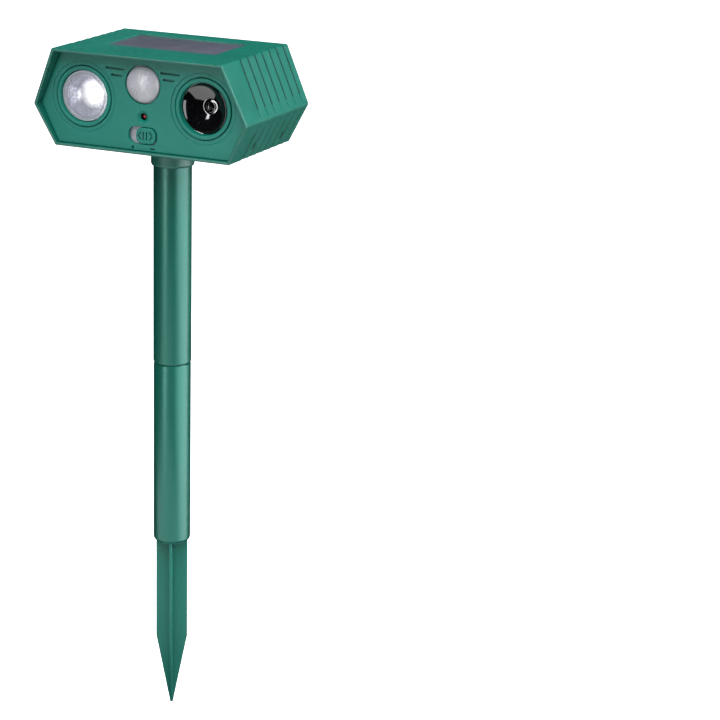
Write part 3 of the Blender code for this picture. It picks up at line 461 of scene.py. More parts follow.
def moulded(name, colour, roughness, grain=2600.0, depth=0.000012, stretch=(1, 1, 1), wear=0.25, shine=0.5,
            sheen=(1, 1, 1), with_slat_shadows=False):
    """Satin moulded plastic: fine grain, flow marks, uneven gloss, paler worn edges, painted shade in the
    hollows and, where asked, painted shadows along the slats' grooves.
    """
    mat, tree, shader = new_finish(name, colour, roughness)
    flow = noise_on(tree, 38.0, 3.0, stretch)
    body = tones(tree, spread(tree, flow, 0, 1), scaled(colour, 0.93), scaled(colour, 1.07))
    edge = tree.nodes.new("ShaderNodeNewGeometry")
    rubbed = spread(tree, edge.outputs["Pointiness"], 0.0, wear, 0.53, 0.62)
    worn = blended(tree, body.outputs["Result"], [min(1.0, c * 1.6 + 0.03) for c in colour], rubbed)
    # Painted shade: concave spots, such as creases, grooves and the gaps round parts, are darkened where
    # shade would fall.
    hollow = spread(tree, edge.outputs["Pointiness"], 0.95, 0.0, 0.43, 0.488)
    surface = blended(tree, worn, scaled(colour, 0.12), hollow)
    # Painted shadow: the slats' grooves are darkened where their steps would shade them.
    if with_slat_shadows:
        surface = blended(tree, surface, scaled(colour, 0.26), painted_slat_shadows(tree))
    tree.links.new(surface, shader.inputs["Base Color"])
    gloss = noise_on(tree, 210.0, 4.0, stretch)
    tree.links.new(spread(tree, gloss, roughness - 0.04, roughness + 0.05), shader.inputs["Roughness"])
    bumped(tree, shader, noise_on(tree, grain, 2.0, stretch), depth)
    shader.inputs["IOR"].default_value = 1.46
    shader.inputs["Specular IOR Level"].default_value = shine
    shader.inputs["Specular Tint"].default_value = (*sheen, 1.0)
    return mat


def soft_rubber(name, colour):
    mat, tree, shader = new_finish(name, colour, 0.75)
    tree.links.new(spread(tree, noise_on(tree, 300.0, 4.0), 0.66, 0.84), shader.inputs["Roughness"])
    dust = mottled(tree, 90.0, 5.0, scaled(colour, 0.8), scaled(colour, 1.5))
    tree.links.new(dust, shader.inputs["Base Color"])
    bumped(tree, shader, noise_on(tree, 3200.0), 0.00002)
    return mat


def drawn_metal(name, colour, roughness, stretch=(1, 1, 0.1)):
    """Metal with fine drawn lines and a little tarnish."""
    mat, tree, shader = new_finish(name, colour, roughness, 1.0)
    tree.links.new(
        spread(tree, noise_on(tree, 900.0, 3.0, stretch), roughness - 0.08, roughness + 0.12),
        shader.inputs["Roughness"],
    )
    tarnish = mottled(tree, 160.0, 4.0, scaled(colour, 0.82), scaled(colour, 1.05))
    tree.links.new(tarnish, shader.inputs["Base Color"])
    bumped(tree, shader, noise_on(tree, 2400.0, 2.0, stretch), 0.000006)
    return mat


def gloss_black(name, colour):
    """Polished black plastic with a breath of dust."""
    mat, tree, shader = new_finish(name, colour, 0.05)
    dust = spread(tree, noise_on(tree, 1800.0, 2.0), 0.0, 1.0, 0.62, 0.80)
    body = tones(tree, dust, colour, (0.05, 0.05, 0.055))
    tree.links.new(body.outputs["Result"], shader.inputs["Base Color"])
    tree.links.new(spread(tree, noise_on(tree, 120.0, 3.0), 0.04, 0.10), shader.inputs["Roughness"])
    shader.inputs["IOR"].default_value = 1.7
    return mat


def ring_distance(tree, x, z):
    """Distance from an eye's axis, on object coordinates."""
    where = tree.nodes.new("ShaderNodeTexCoord")
    centre = tree.nodes.new("ShaderNodeMapping")
    centre.inputs["Location"].default_value = (-x, 0, -z)
    flat = tree.nodes.new("ShaderNodeMapping")
    flat.inputs["Scale"].default_value = (1, 0, 1)
    length = tree.nodes.new("ShaderNodeVectorMath")
    length.operation = "LENGTH"
    tree.links.new(where.outputs["Object"], centre.inputs["Vector"])
    tree.links.new(centre.outputs["Vector"], flat.inputs["Vector"])
    tree.links.new(flat.outputs["Vector"], length.inputs[0])
    return length.outputs["Value"]


def banded(tree, value, full, stops):
    """Colours along a value, from (value, colour) stops."""
    ramp = tree.nodes.new("ShaderNodeValToRGB")
    band = ramp.color_ramp.elements
    while len(band) < len(stops):
        band.new(0.5)
    for element, (place, colour) in zip(band, stops):
        element.position = place / full
        element.color = (*colour, 1.0)
    tree.links.new(maths(tree, "DIVIDE", value, full), ramp.inputs["Fac"])
    return ramp.outputs["Color"]


def clear_lens(name):
    """Clear cover of the light: see-through in its middle, frosted round its rim, with fine turned lines, a
    painted highlight band near its rim and painted shade at its very edge.
    """
    mat, tree, shader = new_finish(name, (0.86, 0.87, 0.93), 0.06)
    radius = ring_distance(tree, -EYE_X, EYE_Z)
    tree.links.new(spread(tree, radius, 0.10, 0.60, 0.0118, 0.0134), shader.inputs["Alpha"])
    tree.links.new(spread(tree, radius, 0.04, 0.22, 0.0118, 0.0134), shader.inputs["Roughness"])
    # The pale cyan band near the rim is a painted highlight; the dark green at the very edge is painted
    # shade.
    tone = banded(tree, radius, 0.016, (
        (0.0120, (0.62, 0.64, 0.72)), (0.0132, (0.40, 0.41, 0.48)), (0.0142, (0.46, 0.49, 0.55)),
        (0.0147, (0.80, 0.90, 0.92)), (0.0151, (0.72, 0.84, 0.86)), (0.0153, (0.10, 0.16, 0.16)),
    ))
    tree.links.new(tone, shader.inputs["Base Color"])
    bumped(tree, shader, ripples(tree, radius, 0.0006), 0.00001)
    shader.inputs["Coat Weight"].default_value = 0.5
    shader.inputs["Coat Roughness"].default_value = 0.02
    return mat


def mirror_cup(name):
    """Metallised reflector: bright, lightly hazed, with painted light glowing round its middle where the
    emitter would light it.
    """
    mat, tree, shader = new_finish(name, (0.70, 0.70, 0.78), 0.22, 0.55)
    haze = noise_on(tree, 240.0, 4.0)
    tree.links.new(spread(tree, haze, 0.16, 0.34), shader.inputs["Roughness"])
    tone = mottled(tree, 85.0, 3.0, (0.56, 0.56, 0.66), (0.82, 0.82, 0.90))
    tree.links.new(tone, shader.inputs["Base Color"])
    bumped(tree, shader, noise_on(tree, 420.0, 3.0), 0.00003)
    radius = ring_distance(tree, -EYE_X, EYE_Z)
    # Painted light: the cup glows white round its middle, standing in for the emitter's light pooling in the
    # cup.
    shader.inputs["Emission Color"].default_value = (1.0, 1.0, 1.0, 1.0)
    tree.links.new(spread(tree, radius, 1.1, 0.0, 0.0055, 0.0098), shader.inputs["Emission Strength"])
    return mat


def milky_lens(name, colour):
    """Motion eye: milky moulded lens, soft inside, with faint cloudy cells."""
    mat, tree, shader = new_finish(name, colour, 0.30)
    cloud = mottled(tree, 230.0, 4.0, scaled(colour, 0.94), scaled(colour, 1.06))
    tree.links.new(cloud, shader.inputs["Base Color"])
    tree.links.new(spread(tree, noise_on(tree, 300.0, 3.0), 0.24, 0.38), shader.inputs["Roughness"])
    bumped(tree, shader, noise_on(tree, 900.0, 3.0), 0.00002)
    shader.inputs["Subsurface Weight"].default_value = 0.25
    shader.inputs["Subsurface Radius"].default_value = (0.0015, 0.0015, 0.0018)
    shader.inputs["Coat Weight"].default_value = 0.1
    shader.inputs["Coat Roughness"].default_value = 0.12
    return mat


def solar_film(name, colour):
    """Solar panel: dark film with fine lines from front to back under a clear, lightly dusty cover."""
    mat, tree, shader = new_finish(name, colour, 0.35)
    x, _y, _z = object_place(tree)
    thin = spread(tree, ripples(tree, x, 0.00125), 0.0, 0.55, 0.80, 0.99)
    streaks = spread(tree, noise_on(tree, 60.0, 3.0, (1, 0.15, 1)), 0, 1)
    film = tones(tree, streaks, scaled(colour, 0.85), scaled(colour, 1.2))
    drawn = blended(tree, film.outputs["Result"], scaled(colour, 0.35), thin)
    tree.links.new(drawn, shader.inputs["Base Color"])
    tree.links.new(spread(tree, noise_on(tree, 180.0, 5.0), 0.30, 0.42), shader.inputs["Roughness"])
    bumped(tree, shader, noise_on(tree, 600.0, 3.0), 0.000008)
    shader.inputs["Specular IOR Level"].default_value = 0.3
    return mat


def speckled(name, colour, roughness, light=1.25, coat=0.0):
    """A plain moulded or printed finish with a fine mottle, for the small inner pieces."""
    mat, tree, shader = new_finish(name, colour, roughness)
    tone = mottled(tree, 500.0, 4.0, scaled(colour, 0.85), scaled(colour, light))
    tree.links.new(tone, shader.inputs["Base Color"])
    gloss = spread(tree, noise_on(tree, 200.0, 3.0), roughness - 0.05, roughness + 0.08)
    tree.links.new(gloss, shader.inputs["Roughness"])
    bumped(tree, shader, noise_on(tree, 2200.0), 0.00001)
    shader.inputs["Coat Weight"].default_value = coat
    return mat


def lit(name, colour, strength):
    """A clear-topped emitter that is switched on."""
    mat = speckled(name, colour, 0.18, coat=0.6)
    shader = mat.node_tree.nodes["Principled BSDF"]
    shader.inputs["Emission Color"].default_value = (1.0, 1.0, 1.0, 1.0)
    shader.inputs["Emission Strength"].default_value = strength
    return mat


def circuit_board(name):
    """Solder mask over copper tracks."""
    mat, tree, shader = new_finish(name, (0.012, 0.12, 0.05), 0.35)
    where = tree.nodes.new("ShaderNodeTexCoord")
    tracks = tree.nodes.new("ShaderNodeTexBrick")
    tracks.inputs["Scale"].default_value = 260.0
    tracks.inputs["Color1"].default_value = (0.012, 0.12, 0.05, 1)
    tracks.inputs["Color2"].default_value = (0.014, 0.14, 0.06, 1)
    tracks.inputs["Mortar"].default_value = (0.03, 0.24, 0.10, 1)
    turn = tree.nodes.new("ShaderNodeMapping")
    turn.inputs["Rotation"].default_value = (math.pi / 2, 0, 0)
    tree.links.new(where.outputs["Object"], turn.inputs["Vector"])
    tree.links.new(turn.outputs["Vector"], tracks.inputs["Vector"])
    tree.links.new(tracks.outputs["Color"], shader.inputs["Base Color"])
    bumped(tree, shader, tracks.outputs["Fac"], 0.00002)
    shader.inputs["Coat Weight"].default_value = 0.4
    return mat


FINISHES = {}


def make_finishes():
    tone = bpy.context.scene.repeller_finish
    FINISHES.update(
        spike_green=moulded(
            "spike_green", tone.spike, 0.42, grain=1500.0, depth=0.00003, stretch=(1, 1, 0.25), wear=0.1,
            shine=0.3,
        ),
        pole_green=moulded(
            "pole_green", tone.pole, 0.34, grain=3000.0, depth=0.000006, stretch=(1, 1, 0.08), wear=0.1,
            shine=0.8, sheen=(0.5, 1.0, 0.92),
        ),
        head_green=moulded("head_green", tone.head, 0.38, wear=0.04, with_slat_shadows=True),
        panel_green=moulded("panel_green", tone.panel, 0.42, shine=0.3, sheen=(0.7, 1.0, 0.95)),
        black_rubber=soft_rubber("black_rubber", (0.014, 0.014, 0.015)),
        solar_cell=solar_film("solar_cell", tone.solar),
        clear_lens=clear_lens("clear_lens"),
        mirror_cup=mirror_cup("mirror_cup"),
        led_body=lit("led_body", (0.92, 0.92, 0.90), 2.5),
        white_board=speckled("white_board", (0.68, 0.69, 0.66), 0.45, light=1.1),
        circuit_board=circuit_board("circuit_board"),
        gloss_black=gloss_black("gloss_black", tone.black),
        motor_grey=drawn_metal("motor_grey", (0.18, 0.18, 0.19), 0.45),
        milky_lens=milky_lens("milky_lens", tone.lens),
        sensor_can=drawn_metal("sensor_can", (0.62, 0.58, 0.48), 0.26),
        red_led=speckled("red_led", (0.42, 0.03, 0.045), 0.16, coat=0.8),
        black_plastic=speckled("black_plastic", (0.016, 0.016, 0.017), 0.48, light=1.6),
        light_grey=speckled("light_grey", (0.43, 0.43, 0.50), 0.38, light=1.1),
        bright_metal=drawn_metal("bright_metal", (0.62, 0.62, 0.64), 0.28),
        black_chip=speckled("black_chip", (0.012, 0.012, 0.013), 0.42, light=1.8),
        copper_coil=drawn_metal("copper_coil", (0.55, 0.22, 0.09), 0.34, (1, 0.1, 1)),
        capacitor_sleeve=speckled("capacitor_sleeve", (0.018, 0.034, 0.10), 0.32, coat=0.3),
        cell_sleeve=speckled("cell_sleeve", (0.05, 0.20, 0.32), 0.30, coat=0.4),
        red_wire=speckled("red_wire", (0.42, 0.015, 0.015), 0.42, light=1.1),
        black_wire=speckled("black_wire", (0.012, 0.012, 0.012), 0.42, light=1.5),
        white_wire=speckled("white_wire", (0.62, 0.62, 0.60), 0.42, light=1.1),
    )


def finish_named(name):
    if not FINISHES:
        make_finishes()
    return FINISHES[name]


# ------------------------------------------------------------ head outline
class HeadOutline:
    """The head's six-sided section in X and Z: places round it, and where the slats cut in."""

    CORNER_STEPS = 5
    FADE = 0.0050  # length over which a slat fades out on the roof and the floor
    END = 0.0004  # length over which it ends on a slanted face

    def __init__(self, head):
        self.head = head
        wide = HEAD_BOTTOM + head.wide_height
        self.corners = [
            Vector((-head.top_half, HEAD_TOP)),
            Vector((head.top_half, HEAD_TOP)),
            Vector((head.wide_half, wide)),
            Vector((head.floor_half, HEAD_BOTTOM)),
            Vector((-head.floor_half, HEAD_BOTTOM)),
            Vector((-head.wide_half, wide)),
        ]

    def corner_at(self, index, inset):
        """A corner of the section moved inwards, with the directions before and after it."""
        before, here, after = (self.corners[(index + k) % 6] for k in (-1, 0, 1))
        into, out = (here - before).normalized(), (after - here).normalized()
        inward = Vector((into.y, -into.x)) + Vector((out.y, -out.x))
        return here + inward * (inset / (1.0 + into.dot(out))), into, out

    def arc(self, index, inset):
        """The rounded corner's points, from the side before it to the side after it."""
        corner, into, out = self.corner_at(index, inset)
        rounding = self.head.side_corner if index in (2, 5) else self.head.corner
        radius = max(rounding - inset, 0.0002)
        half = math.acos(max(-1.0, min(1.0, into.dot(out)))) / 2
        start_normal = Vector((-into.y, into.x))
        centre = corner - into * radius * math.tan(half) - start_normal * radius
        points = []
        for k in range(self.CORNER_STEPS + 1):
            angle = -2 * half * k / self.CORNER_STEPS
            turned = Vector(
                (
                    start_normal.x * math.cos(angle) - start_normal.y * math.sin(angle),
                    start_normal.x * math.sin(angle) + start_normal.y * math.cos(angle),
                )
            )
            points.append((centre + turned * radius, turned))
        return points

    def shares(self, side):
        """Where points stand along a side, as shares of its length."""
        start, end = self.corners[side], self.corners[(side + 1) % 6]
        length = (end - start).length
        near = 0.0006 / length
        if side in (0, 3):
            half = self.head.top_half if side == 0 else self.head.floor_half
            marks = [half - 0.0011 * k for k in range(1, 6)]  # close together where the slats fade out
            marks += [self.head.well_half + 0.002, self.head.well_half, 0.019]
            spots = [0.5 - m / (2 * half) for m in marks] + [0.5]
            return [near] + sorted(spots + [1 - s for s in spots if s < 0.5]) + [1 - near]
        heights = []
        if side in (1, 5):
            end_z = HEAD_BOTTOM + self.head.slat_upper_end
            heights = [end_z + 0.00035, end_z + 0.0001, end_z - 0.00025, end_z - 0.0005]
        else:
            top = HEAD_BOTTOM + self.head.slat_lower_start
            heights = [top + 0.0005, top + 0.00025, top - 0.0001, top - 0.00035, SLOT_HIGH, SLOT_LOW]
        spots = sorted((z - start.y) / (end.y - start.y) for z in heights)
        return [near] + spots + [1 - near]

    def mask(self, point):
        """How far the slats cut in at a place on the section: 1 where they are full, 0 off them."""
        x, z = abs(point.x), point.y
        upper_end = HEAD_BOTTOM + self.head.slat_upper_end
        lower_start = HEAD_BOTTOM + self.head.slat_lower_start
        if z > HEAD_TOP - 0.0003:
            return self.share_of(x - self.head.top_half + self.FADE, self.FADE) ** 1.3
        if z < HEAD_BOTTOM + 0.0003:
            return self.share_of(x - self.head.floor_half + self.FADE, self.FADE) ** 1.3
        if z >= HEAD_BOTTOM + self.head.wide_height:
            return self.share_of(z - upper_end + 0.00027, self.END)
        return self.share_of(lower_start + 0.00027 - z, self.END)

    @staticmethod
    def share_of(reach, length):
        """How far a reach has got along a length, from 0 to 1."""
        return max(0.0, min(1.0, reach / length))

    def ring(self, inset):
        """All points round the section at an inset, each with its outward normal and slat mask."""
        points = []
        for side in range(6):
            start = self.arc(side, inset)
            end = self.arc((side + 1) % 6, inset)
            points += start
            a, b = start[-1][0], end[0][0]
            normal = Vector((-(b - a).y, (b - a).x)).normalized()
            points += [(a.lerp(b, share), normal) for share in self.shares(side)]
        return [(spot, normal, self.mask(spot)) for spot, normal in points]

    def outline(self, inset):
        """The section's plain points at an inset, as X and Z."""
        return [(spot.x, spot.y) for spot, _normal, _mask in self.ring(inset)]


def rim_y(height):
    """The raked rim's y at a height."""
    share = (height - HEAD_BOTTOM) / (HEAD_TOP - HEAD_BOTTOM)
    floor_y = bpy.context.scene.repeller_head.rim_floor_y
    return floor_y + (RIM_TOP_Y - floor_y) * share


def slat_steps(head):
    """(y, share of the slat depth) from front to back, over every slat."""
    steps = []
    for index in range(head.slat_count):
        line = head.slat_first + index * head.slat_pitch
        steps += [
            (line - 0.00040, 0.0), (line - 0.00018, 0.06), (line - 0.00010, 0.98), (line + 0.00060, 1.0),
            (line + 0.00066, 0.42), (line + 0.00150, 0.36), (line + head.slat_run - 0.0006, 0.03),
            (line + head.slat_run, 0.0),
        ]
    return steps


class RepellerOperator(bpy.types.Operator):
    """Shared behaviour of the makers: undoable, and only run in object mode."""

    bl_options = {"REGISTER", "UNDO"}

    @classmethod
    def poll(cls, context):
        return context.mode == "OBJECT"


class REPELLER_OT_head_shell(RepellerOperator):
    """Six-sided shell with its raked rim, slats, solar well, side slots and screw bosses"""

    bl_idname = "repeller.head_shell"
    bl_label = "Head Shell"

    def execute(self, context):
        head = context.scene.repeller_head
        section = HeadOutline(head)

        def level(inset, y):
            return [(x, y, z) for x, z in section.outline(inset)]

        def raked(inset, back):
            return [(x, rim_y(z) + back, z) for x, z in section.outline(inset)]

        def slatted(y, share):
            cut = head.slat_depth * share
            return [
                (spot.x - normal.x * cut * mask, y, spot.y - normal.y * cut * mask)
                for spot, normal, mask in section.ring(0.0)
            ]

        ledge_y = low("panel_gasket").y + 0.0006 + GAP
        rear_ledge = low("cover_gasket").y - GAP
        rim, round_off = head.rim_wall, 0.0009
        rings = [level(head.wall, ledge_y), level(rim, ledge_y), level(rim, ledge_y - 0.0004)]
        rings += [raked(rim, 0.0010), raked(rim, 0.00035), raked(rim - 0.0001, 0.00012)]
        rings += [raked(rim - 0.0003, 0.0), raked(round_off + 0.0001, 0.0)]
        for k in range(4):
            angle = math.pi / 2 * k / 3
            rings.append(raked(round_off * (1 - math.sin(angle)), round_off * (1 - math.cos(angle))))
        rings += [raked(0.0, round_off + 0.0003), level(0.0, -0.034), level(0.0, -0.029)]
        body = slat_steps(head)
        lines = [y + s * SLOT_HALF for y in SLOTS_Y for s in (-1, 1)] + [head.well_front, head.well_back]
        for y in lines:
            for (y0, s0), (y1, s1) in zip(body, body[1:]):
                if y0 < y < y1:
                    body.append((y, s0 + (s1 - s0) * (y - y0) / (y1 - y0)))
                    break
            body.sort()
        rings += [slatted(y, share) for y, share in body if y < BACK_Y - head.rear_round - 0.0007]
        end = BACK_Y - head.rear_round
        rings += [level(0.0, end - 0.0003)]
        for k in range(5):
            angle = math.pi / 2 * k / 4
            inset = head.rear_round * (1 - math.cos(angle))
            rings.append(level(inset, end + head.rear_round * math.sin(angle)))
        rings += [level(rim - 0.0001, BACK_Y), level(rim, BACK_Y - 0.0001)]
        rings += [level(rim, rear_ledge), level(head.wall, rear_ledge)]
        rings += [level(head.wall, y) for y in (head.well_back + 0.002, head.well_front - 0.002)]
        rings += [rings[0]]
        bm = bmesh.new()
        skin(bm, rings)
        bmesh.ops.remove_doubles(bm, verts=bm.verts, dist=0.000002)
        bmesh.ops.recalc_face_normals(bm, faces=bm.faces)
        self.sink_well(bm, head)
        self.sink_slots(bm)
        for spot in frame_screws("cover_screw"):
            post = lathe(
                [(0.0018, -rear_ledge), (0.0036, -rear_ledge), (0.0036, -0.012), (0.0, -0.012), (0.0, -0.016),
                 (0.0018, -0.016)],
                (spot.x, 0, spot.z), "front", 24,
            )
            join(bm, post)
        finish_piece("head_shell", bm, "head", "head_green", ["housing"], math.radians(36))
        return {"FINISHED"}

    @staticmethod
    def sink(bm, faces, move, soft=0.0):
        """Cuts a pocket: removes the faces, walls their border along a vector and closes its floor."""
        edges = {e for f in faces for e in f.edges}
        border = [e for e in edges if sum(f in faces for f in e.link_faces) == 1]
        bmesh.ops.delete(bm, geom=list(faces), context="FACES")
        made = bmesh.ops.extrude_edge_only(bm, edges=border)["geom"]
        bmesh.ops.translate(bm, verts=[g for g in made if isinstance(g, bmesh.types.BMVert)], vec=move)
        rim = [g for g in made if isinstance(g, bmesh.types.BMEdge) and g.is_boundary]
        close_loop(bm, rim)
        if soft:
            bmesh.ops.bevel(
                bm, geom=border, offset=soft, offset_type="OFFSET", segments=2, profile=0.5, affect="EDGES",
                clamp_overlap=True, material=-1,
            )

    def sink_well(self, bm, head):
        """Sinks the solar well into the roof, and the well's own underside into the head."""
        for z, drop, wider, soft in (
            (HEAD_TOP, head.well_depth, 0.0, 0.0003),
            (HEAD_TOP - head.wall, 0.0033, 0.0021, 0.0),
        ):
            found = set()
            for face in bm.faces:
                middle = face.calc_center_median()
                inside = head.well_front - wider < middle.y < head.well_back + wider
                if inside and abs(middle.z - z) < 0.0002 and abs(middle.x) < head.well_half + wider:
                    found.add(face)
            self.sink(bm, found, (0, 0, -drop), soft)
        loose = [v for v in bm.verts if not v.link_faces]
        bmesh.ops.delete(bm, geom=loose, context="VERTS")

    def sink_slots(self, bm):
        """Sinks two narrow slots low in each side."""
        for y in SLOTS_Y:
            for side in (-1, 1):
                found = {
                    f for f in bm.faces
                    if abs(f.calc_center_median().y - y) < SLOT_HALF
                    and SLOT_LOW < f.calc_center_median().z < SLOT_HIGH
                    and side * f.calc_center_median().x > 0.0575
                }
                normal = next(iter(found)).normal.copy()
                self.sink(bm, found, -normal * SLOT_DEPTH, 0.00012)


def frame_screws(prefix):
    """The places of the numbered screws whose nodes start with a name."""
    spots = []
    for node in sorted(frame["nodes"]):
        if node.startswith(prefix):
            spots.append((low(node) + high(node)) / 2)
    return spots


class REPELLER_OT_pole_collar(RepellerOperator):
    """Collar under the head that the pole goes into"""

    bl_idname = "repeller.pole_collar"
    bl_label = "Pole Collar"

    def execute(self, context):
        radius = context.scene.repeller_head.collar_radius
        bottom, bore = low("housing").z, TUBE_RADIUS + GAP
        top = HEAD_BOTTOM + 0.0012
        profile = [(bore, top), (radius + 0.0007, top), (radius + 0.0007, HEAD_BOTTOM - 0.0001)]
        profile += [(radius + 0.00025, HEAD_BOTTOM - 0.0004), (radius, HEAD_BOTTOM - 0.0010)]
        profile += [(radius, bottom + 0.0013), (radius - 0.0001, bottom + 0.0010)]
        profile += [(radius - 0.0005, bottom + 0.0002), (radius - 0.0008, bottom)]
        profile += [(bore + 0.0002, bottom), (bore, bottom + 0.0002)]
        bm = lathe(profile, (0, 0, 0))
        finish_piece("pole_collar", bm, "head", "head_green", ["housing"])
        return {"FINISHED"}


class REPELLER_OT_front_plate(RepellerOperator):
    """Front panel with its sunken rings, openings, accent grooves and two plain switch marks"""

    bl_idname = "repeller.front_plate"
    bl_label = "Front Panel"

    def execute(self, context):
        head, panel = context.scene.repeller_head, context.scene.repeller_panel
        section = HeadOutline(head)
        front, back = PANEL_Y, PANEL_Y + panel.thickness
        inset = head.rim_wall + GAP
        edge = [(0.0006, 0.0), (0.00025, 0.0), (0.00006, 0.00006), (0.0, 0.00025), (0.0, panel.thickness)]
        bm = bmesh.new()
        first, last = skin(bm, facing_rings(lambda more: section.outline(inset + more), edge, front))
        fronts, backs = list(first), list(last)
        step, sunk = panel.dish_radius - panel.eye_hole, panel.dish_depth
        eye = [(step + 0.0006, 0.0), (step + 0.00012, 0.0), (step + 0.00003, 0.00003)]
        eye += [(step - 0.00004, sunk - 0.00005), (step - 0.00014, sunk), (step - 0.0006, sunk)]
        eye += [(0.0004, sunk), (0.00015, sunk), (0.00003, sunk + 0.00005), (0.0, sunk + 0.0002)]
        eye += [(0.0, panel.thickness)]
        for side in (-1, 1):
            pierce(bm, circle(side * EYE_X, EYE_Z, panel.eye_hole), eye, front, fronts, backs)
        pir = [(0.0008, 0.0), (0.00030, 0.0), (0.00009, 0.00009), (0.0, 0.0003), (0.0, panel.thickness)]
        pierce(bm, circle(0, PIR_Z, panel.pir_hole), pir, front, fronts, backs)
        flare = panel.countersink - panel.indicator_hole
        dish = [(flare + 0.0004, 0.0), (flare + 0.00008, 0.0), (flare - 0.0001, 0.00008), (0.00015, 0.0010),
                (0.0, 0.00115), (0.0, panel.thickness)]
        pierce(bm, circle(0, INDICATOR_Z, panel.indicator_hole, 48), dish, front, fronts, backs)
        slot = [(0.0006, 0.0), (0.00022, 0.0), (0.00006, 0.00006), (0.0, 0.00022), (0.0, panel.thickness)]
        shape = rounded_box(0, SWITCH_Z, panel.slot_width, panel.slot_height, panel.slot_corner, 12)
        pierce(bm, shape, slot, front, fronts, backs)
        half, deep = panel.accent_width / 2, panel.accent_depth
        groove = [(0.00025, 0.0), (0.00008, 0.0), (0.0, 0.00008), (-0.00004, deep - 0.00006), (-0.0001, deep)]
        for start, end, height in ACCENTS:
            for side in (-1, 1):
                shape = rounded_box(
                    side * (start + end) / 2, HEAD_BOTTOM + height, end - start, 2 * half, half * 0.8, 4
                )
                engrave(bm, shape, groove, front, fronts)
        for shape in (
            circle(-MARK_REACH, HEAD_BOTTOM + MARK_HEIGHT, 0.0009, 24),
            rounded_box(MARK_REACH, HEAD_BOTTOM + MARK_HEIGHT, 0.0034, 0.0010, 0.0004, 4),
        ):
            engrave(bm, shape, groove, front, fronts)
        fill(bm, fronts, (0, -1, 0))
        fill(bm, backs, (0, 1, 0))
        bmesh.ops.recalc_face_normals(bm, faces=bm.faces)
        self.add_posts(bm)
        finish_piece("front_plate", bm, "head", "panel_green", ["front_panel"])
        return {"FINISHED"}

    @staticmethod
    def add_posts(bm):
        """Four hollow posts that carry the main board."""
        back = PANEL_Y + PANEL_THICKNESS
        foot = low("main_board").y - GAP
        for spot in frame_screws("board_screw"):
            profile = [(0.0, -back + 0.0008), (0.0025, -back + 0.0008), (0.0025, -foot), (0.0014, -foot),
                       (0.0014, -back), (0.0, -back)]
            join(bm, lathe(profile, (spot.x, 0, spot.z), "front", 24))


class REPELLER_OT_eye_rings(RepellerOperator):
    """Round rings that frame the light and the speaker"""

    bl_idname = "repeller.eye_rings"
    bl_label = "Eye Rings"

    def execute(self, context):
        for name, node, x, inner in (
            ("light_ring", "led_bezel", -EYE_X, 0.0159), ("speaker_ring", "speaker_bezel", EYE_X, 0.0156)
        ):
            outer = context.scene.repeller_panel.eye_hole - GAP - 0.0002
            rear = -(PANEL_THICKNESS + GAP + RING_FLANGE)
            flange = rear + RING_FLANGE
            profile = [(outer, flange), (outer, -0.0006), (outer - 0.00006, -0.00032)]
            profile += [(outer - 0.0002, -0.00012), (outer - 0.0005, -0.00003), (outer - 0.0010, 0.0)]
            profile += [(inner + 0.0011, 0.0)]
            profile += [(inner + 0.0006, -0.00005), (inner + 0.00025, -0.0002), (inner + 0.00006, -0.00048)]
            profile += [(inner, -0.0009), (inner, rear), (outer + 0.0020, rear), (outer + 0.0020, flange)]
            bm = lathe(profile, (x, PANEL_Y, EYE_Z), "front", 128)
            finish_piece(name, bm, "head", "panel_green", [node])
        return {"FINISHED"}


class REPELLER_OT_light(RepellerOperator):
    """The light: stepped clear lens, metallised cup and its emitter"""

    bl_idname = "repeller.light"
    bl_label = "Light"

    def execute(self, context):
        centre = (-EYE_X, PANEL_Y, EYE_Z)
        face = [(0.0, -0.00120), (0.004, -0.00122), (0.008, -0.00131), (0.0112, -0.00146), (0.0124, -0.00156)]
        face += [(0.0126, -0.00172), (0.0129, -0.00176), (0.0131, -0.00160), (0.0135, -0.00154)]
        face += [(0.0146, -0.00158), (0.0150, -0.00164), (0.0152, -0.00184), (0.01535, -0.0021)]
        face += [(0.0155, -0.0024)]
        back = [(0.0155, -0.0034), (0.0128, -0.0034), (0.0122, -0.0030), (0.0060, -0.0026), (0.0, -0.0025)]
        lens = lathe(face + back, centre, "front", 128)
        finish_piece("light_lens", lens, "head", "clear_lens", ["led_lens"])

        steps = 14
        cup = []
        for k in range(steps + 1):
            cup.append((0.0040 + 0.0112 * math.sqrt(k / steps), -0.0150 + 0.0113 * k / steps))
        shell = [(0.0156, -0.0037), (0.0156, -0.0047)]
        shell += [(r + 0.0008, h - 0.0004) for r, h in cup[-2:1:-1]]
        shell += [(0.0052, -0.0150)] + cup
        finish_piece("light_cup", lathe(shell, centre, "front"), "head", "mirror_cup", ["led_reflector"])

        dome = [(0.0022 * math.sin(math.pi / 2 * k / 6), -0.0141 + 0.0022 * math.cos(math.pi / 2 * k / 6))
                for k in range(7)]
        dome += [(0.0030, -0.0141), (0.0030, -0.0150), (0.0, -0.0150)]
        finish_piece("light_emitter", lathe(dome, centre, "front", 32), "head", "led_body", ["led_emitter"])
        return {"FINISHED"}


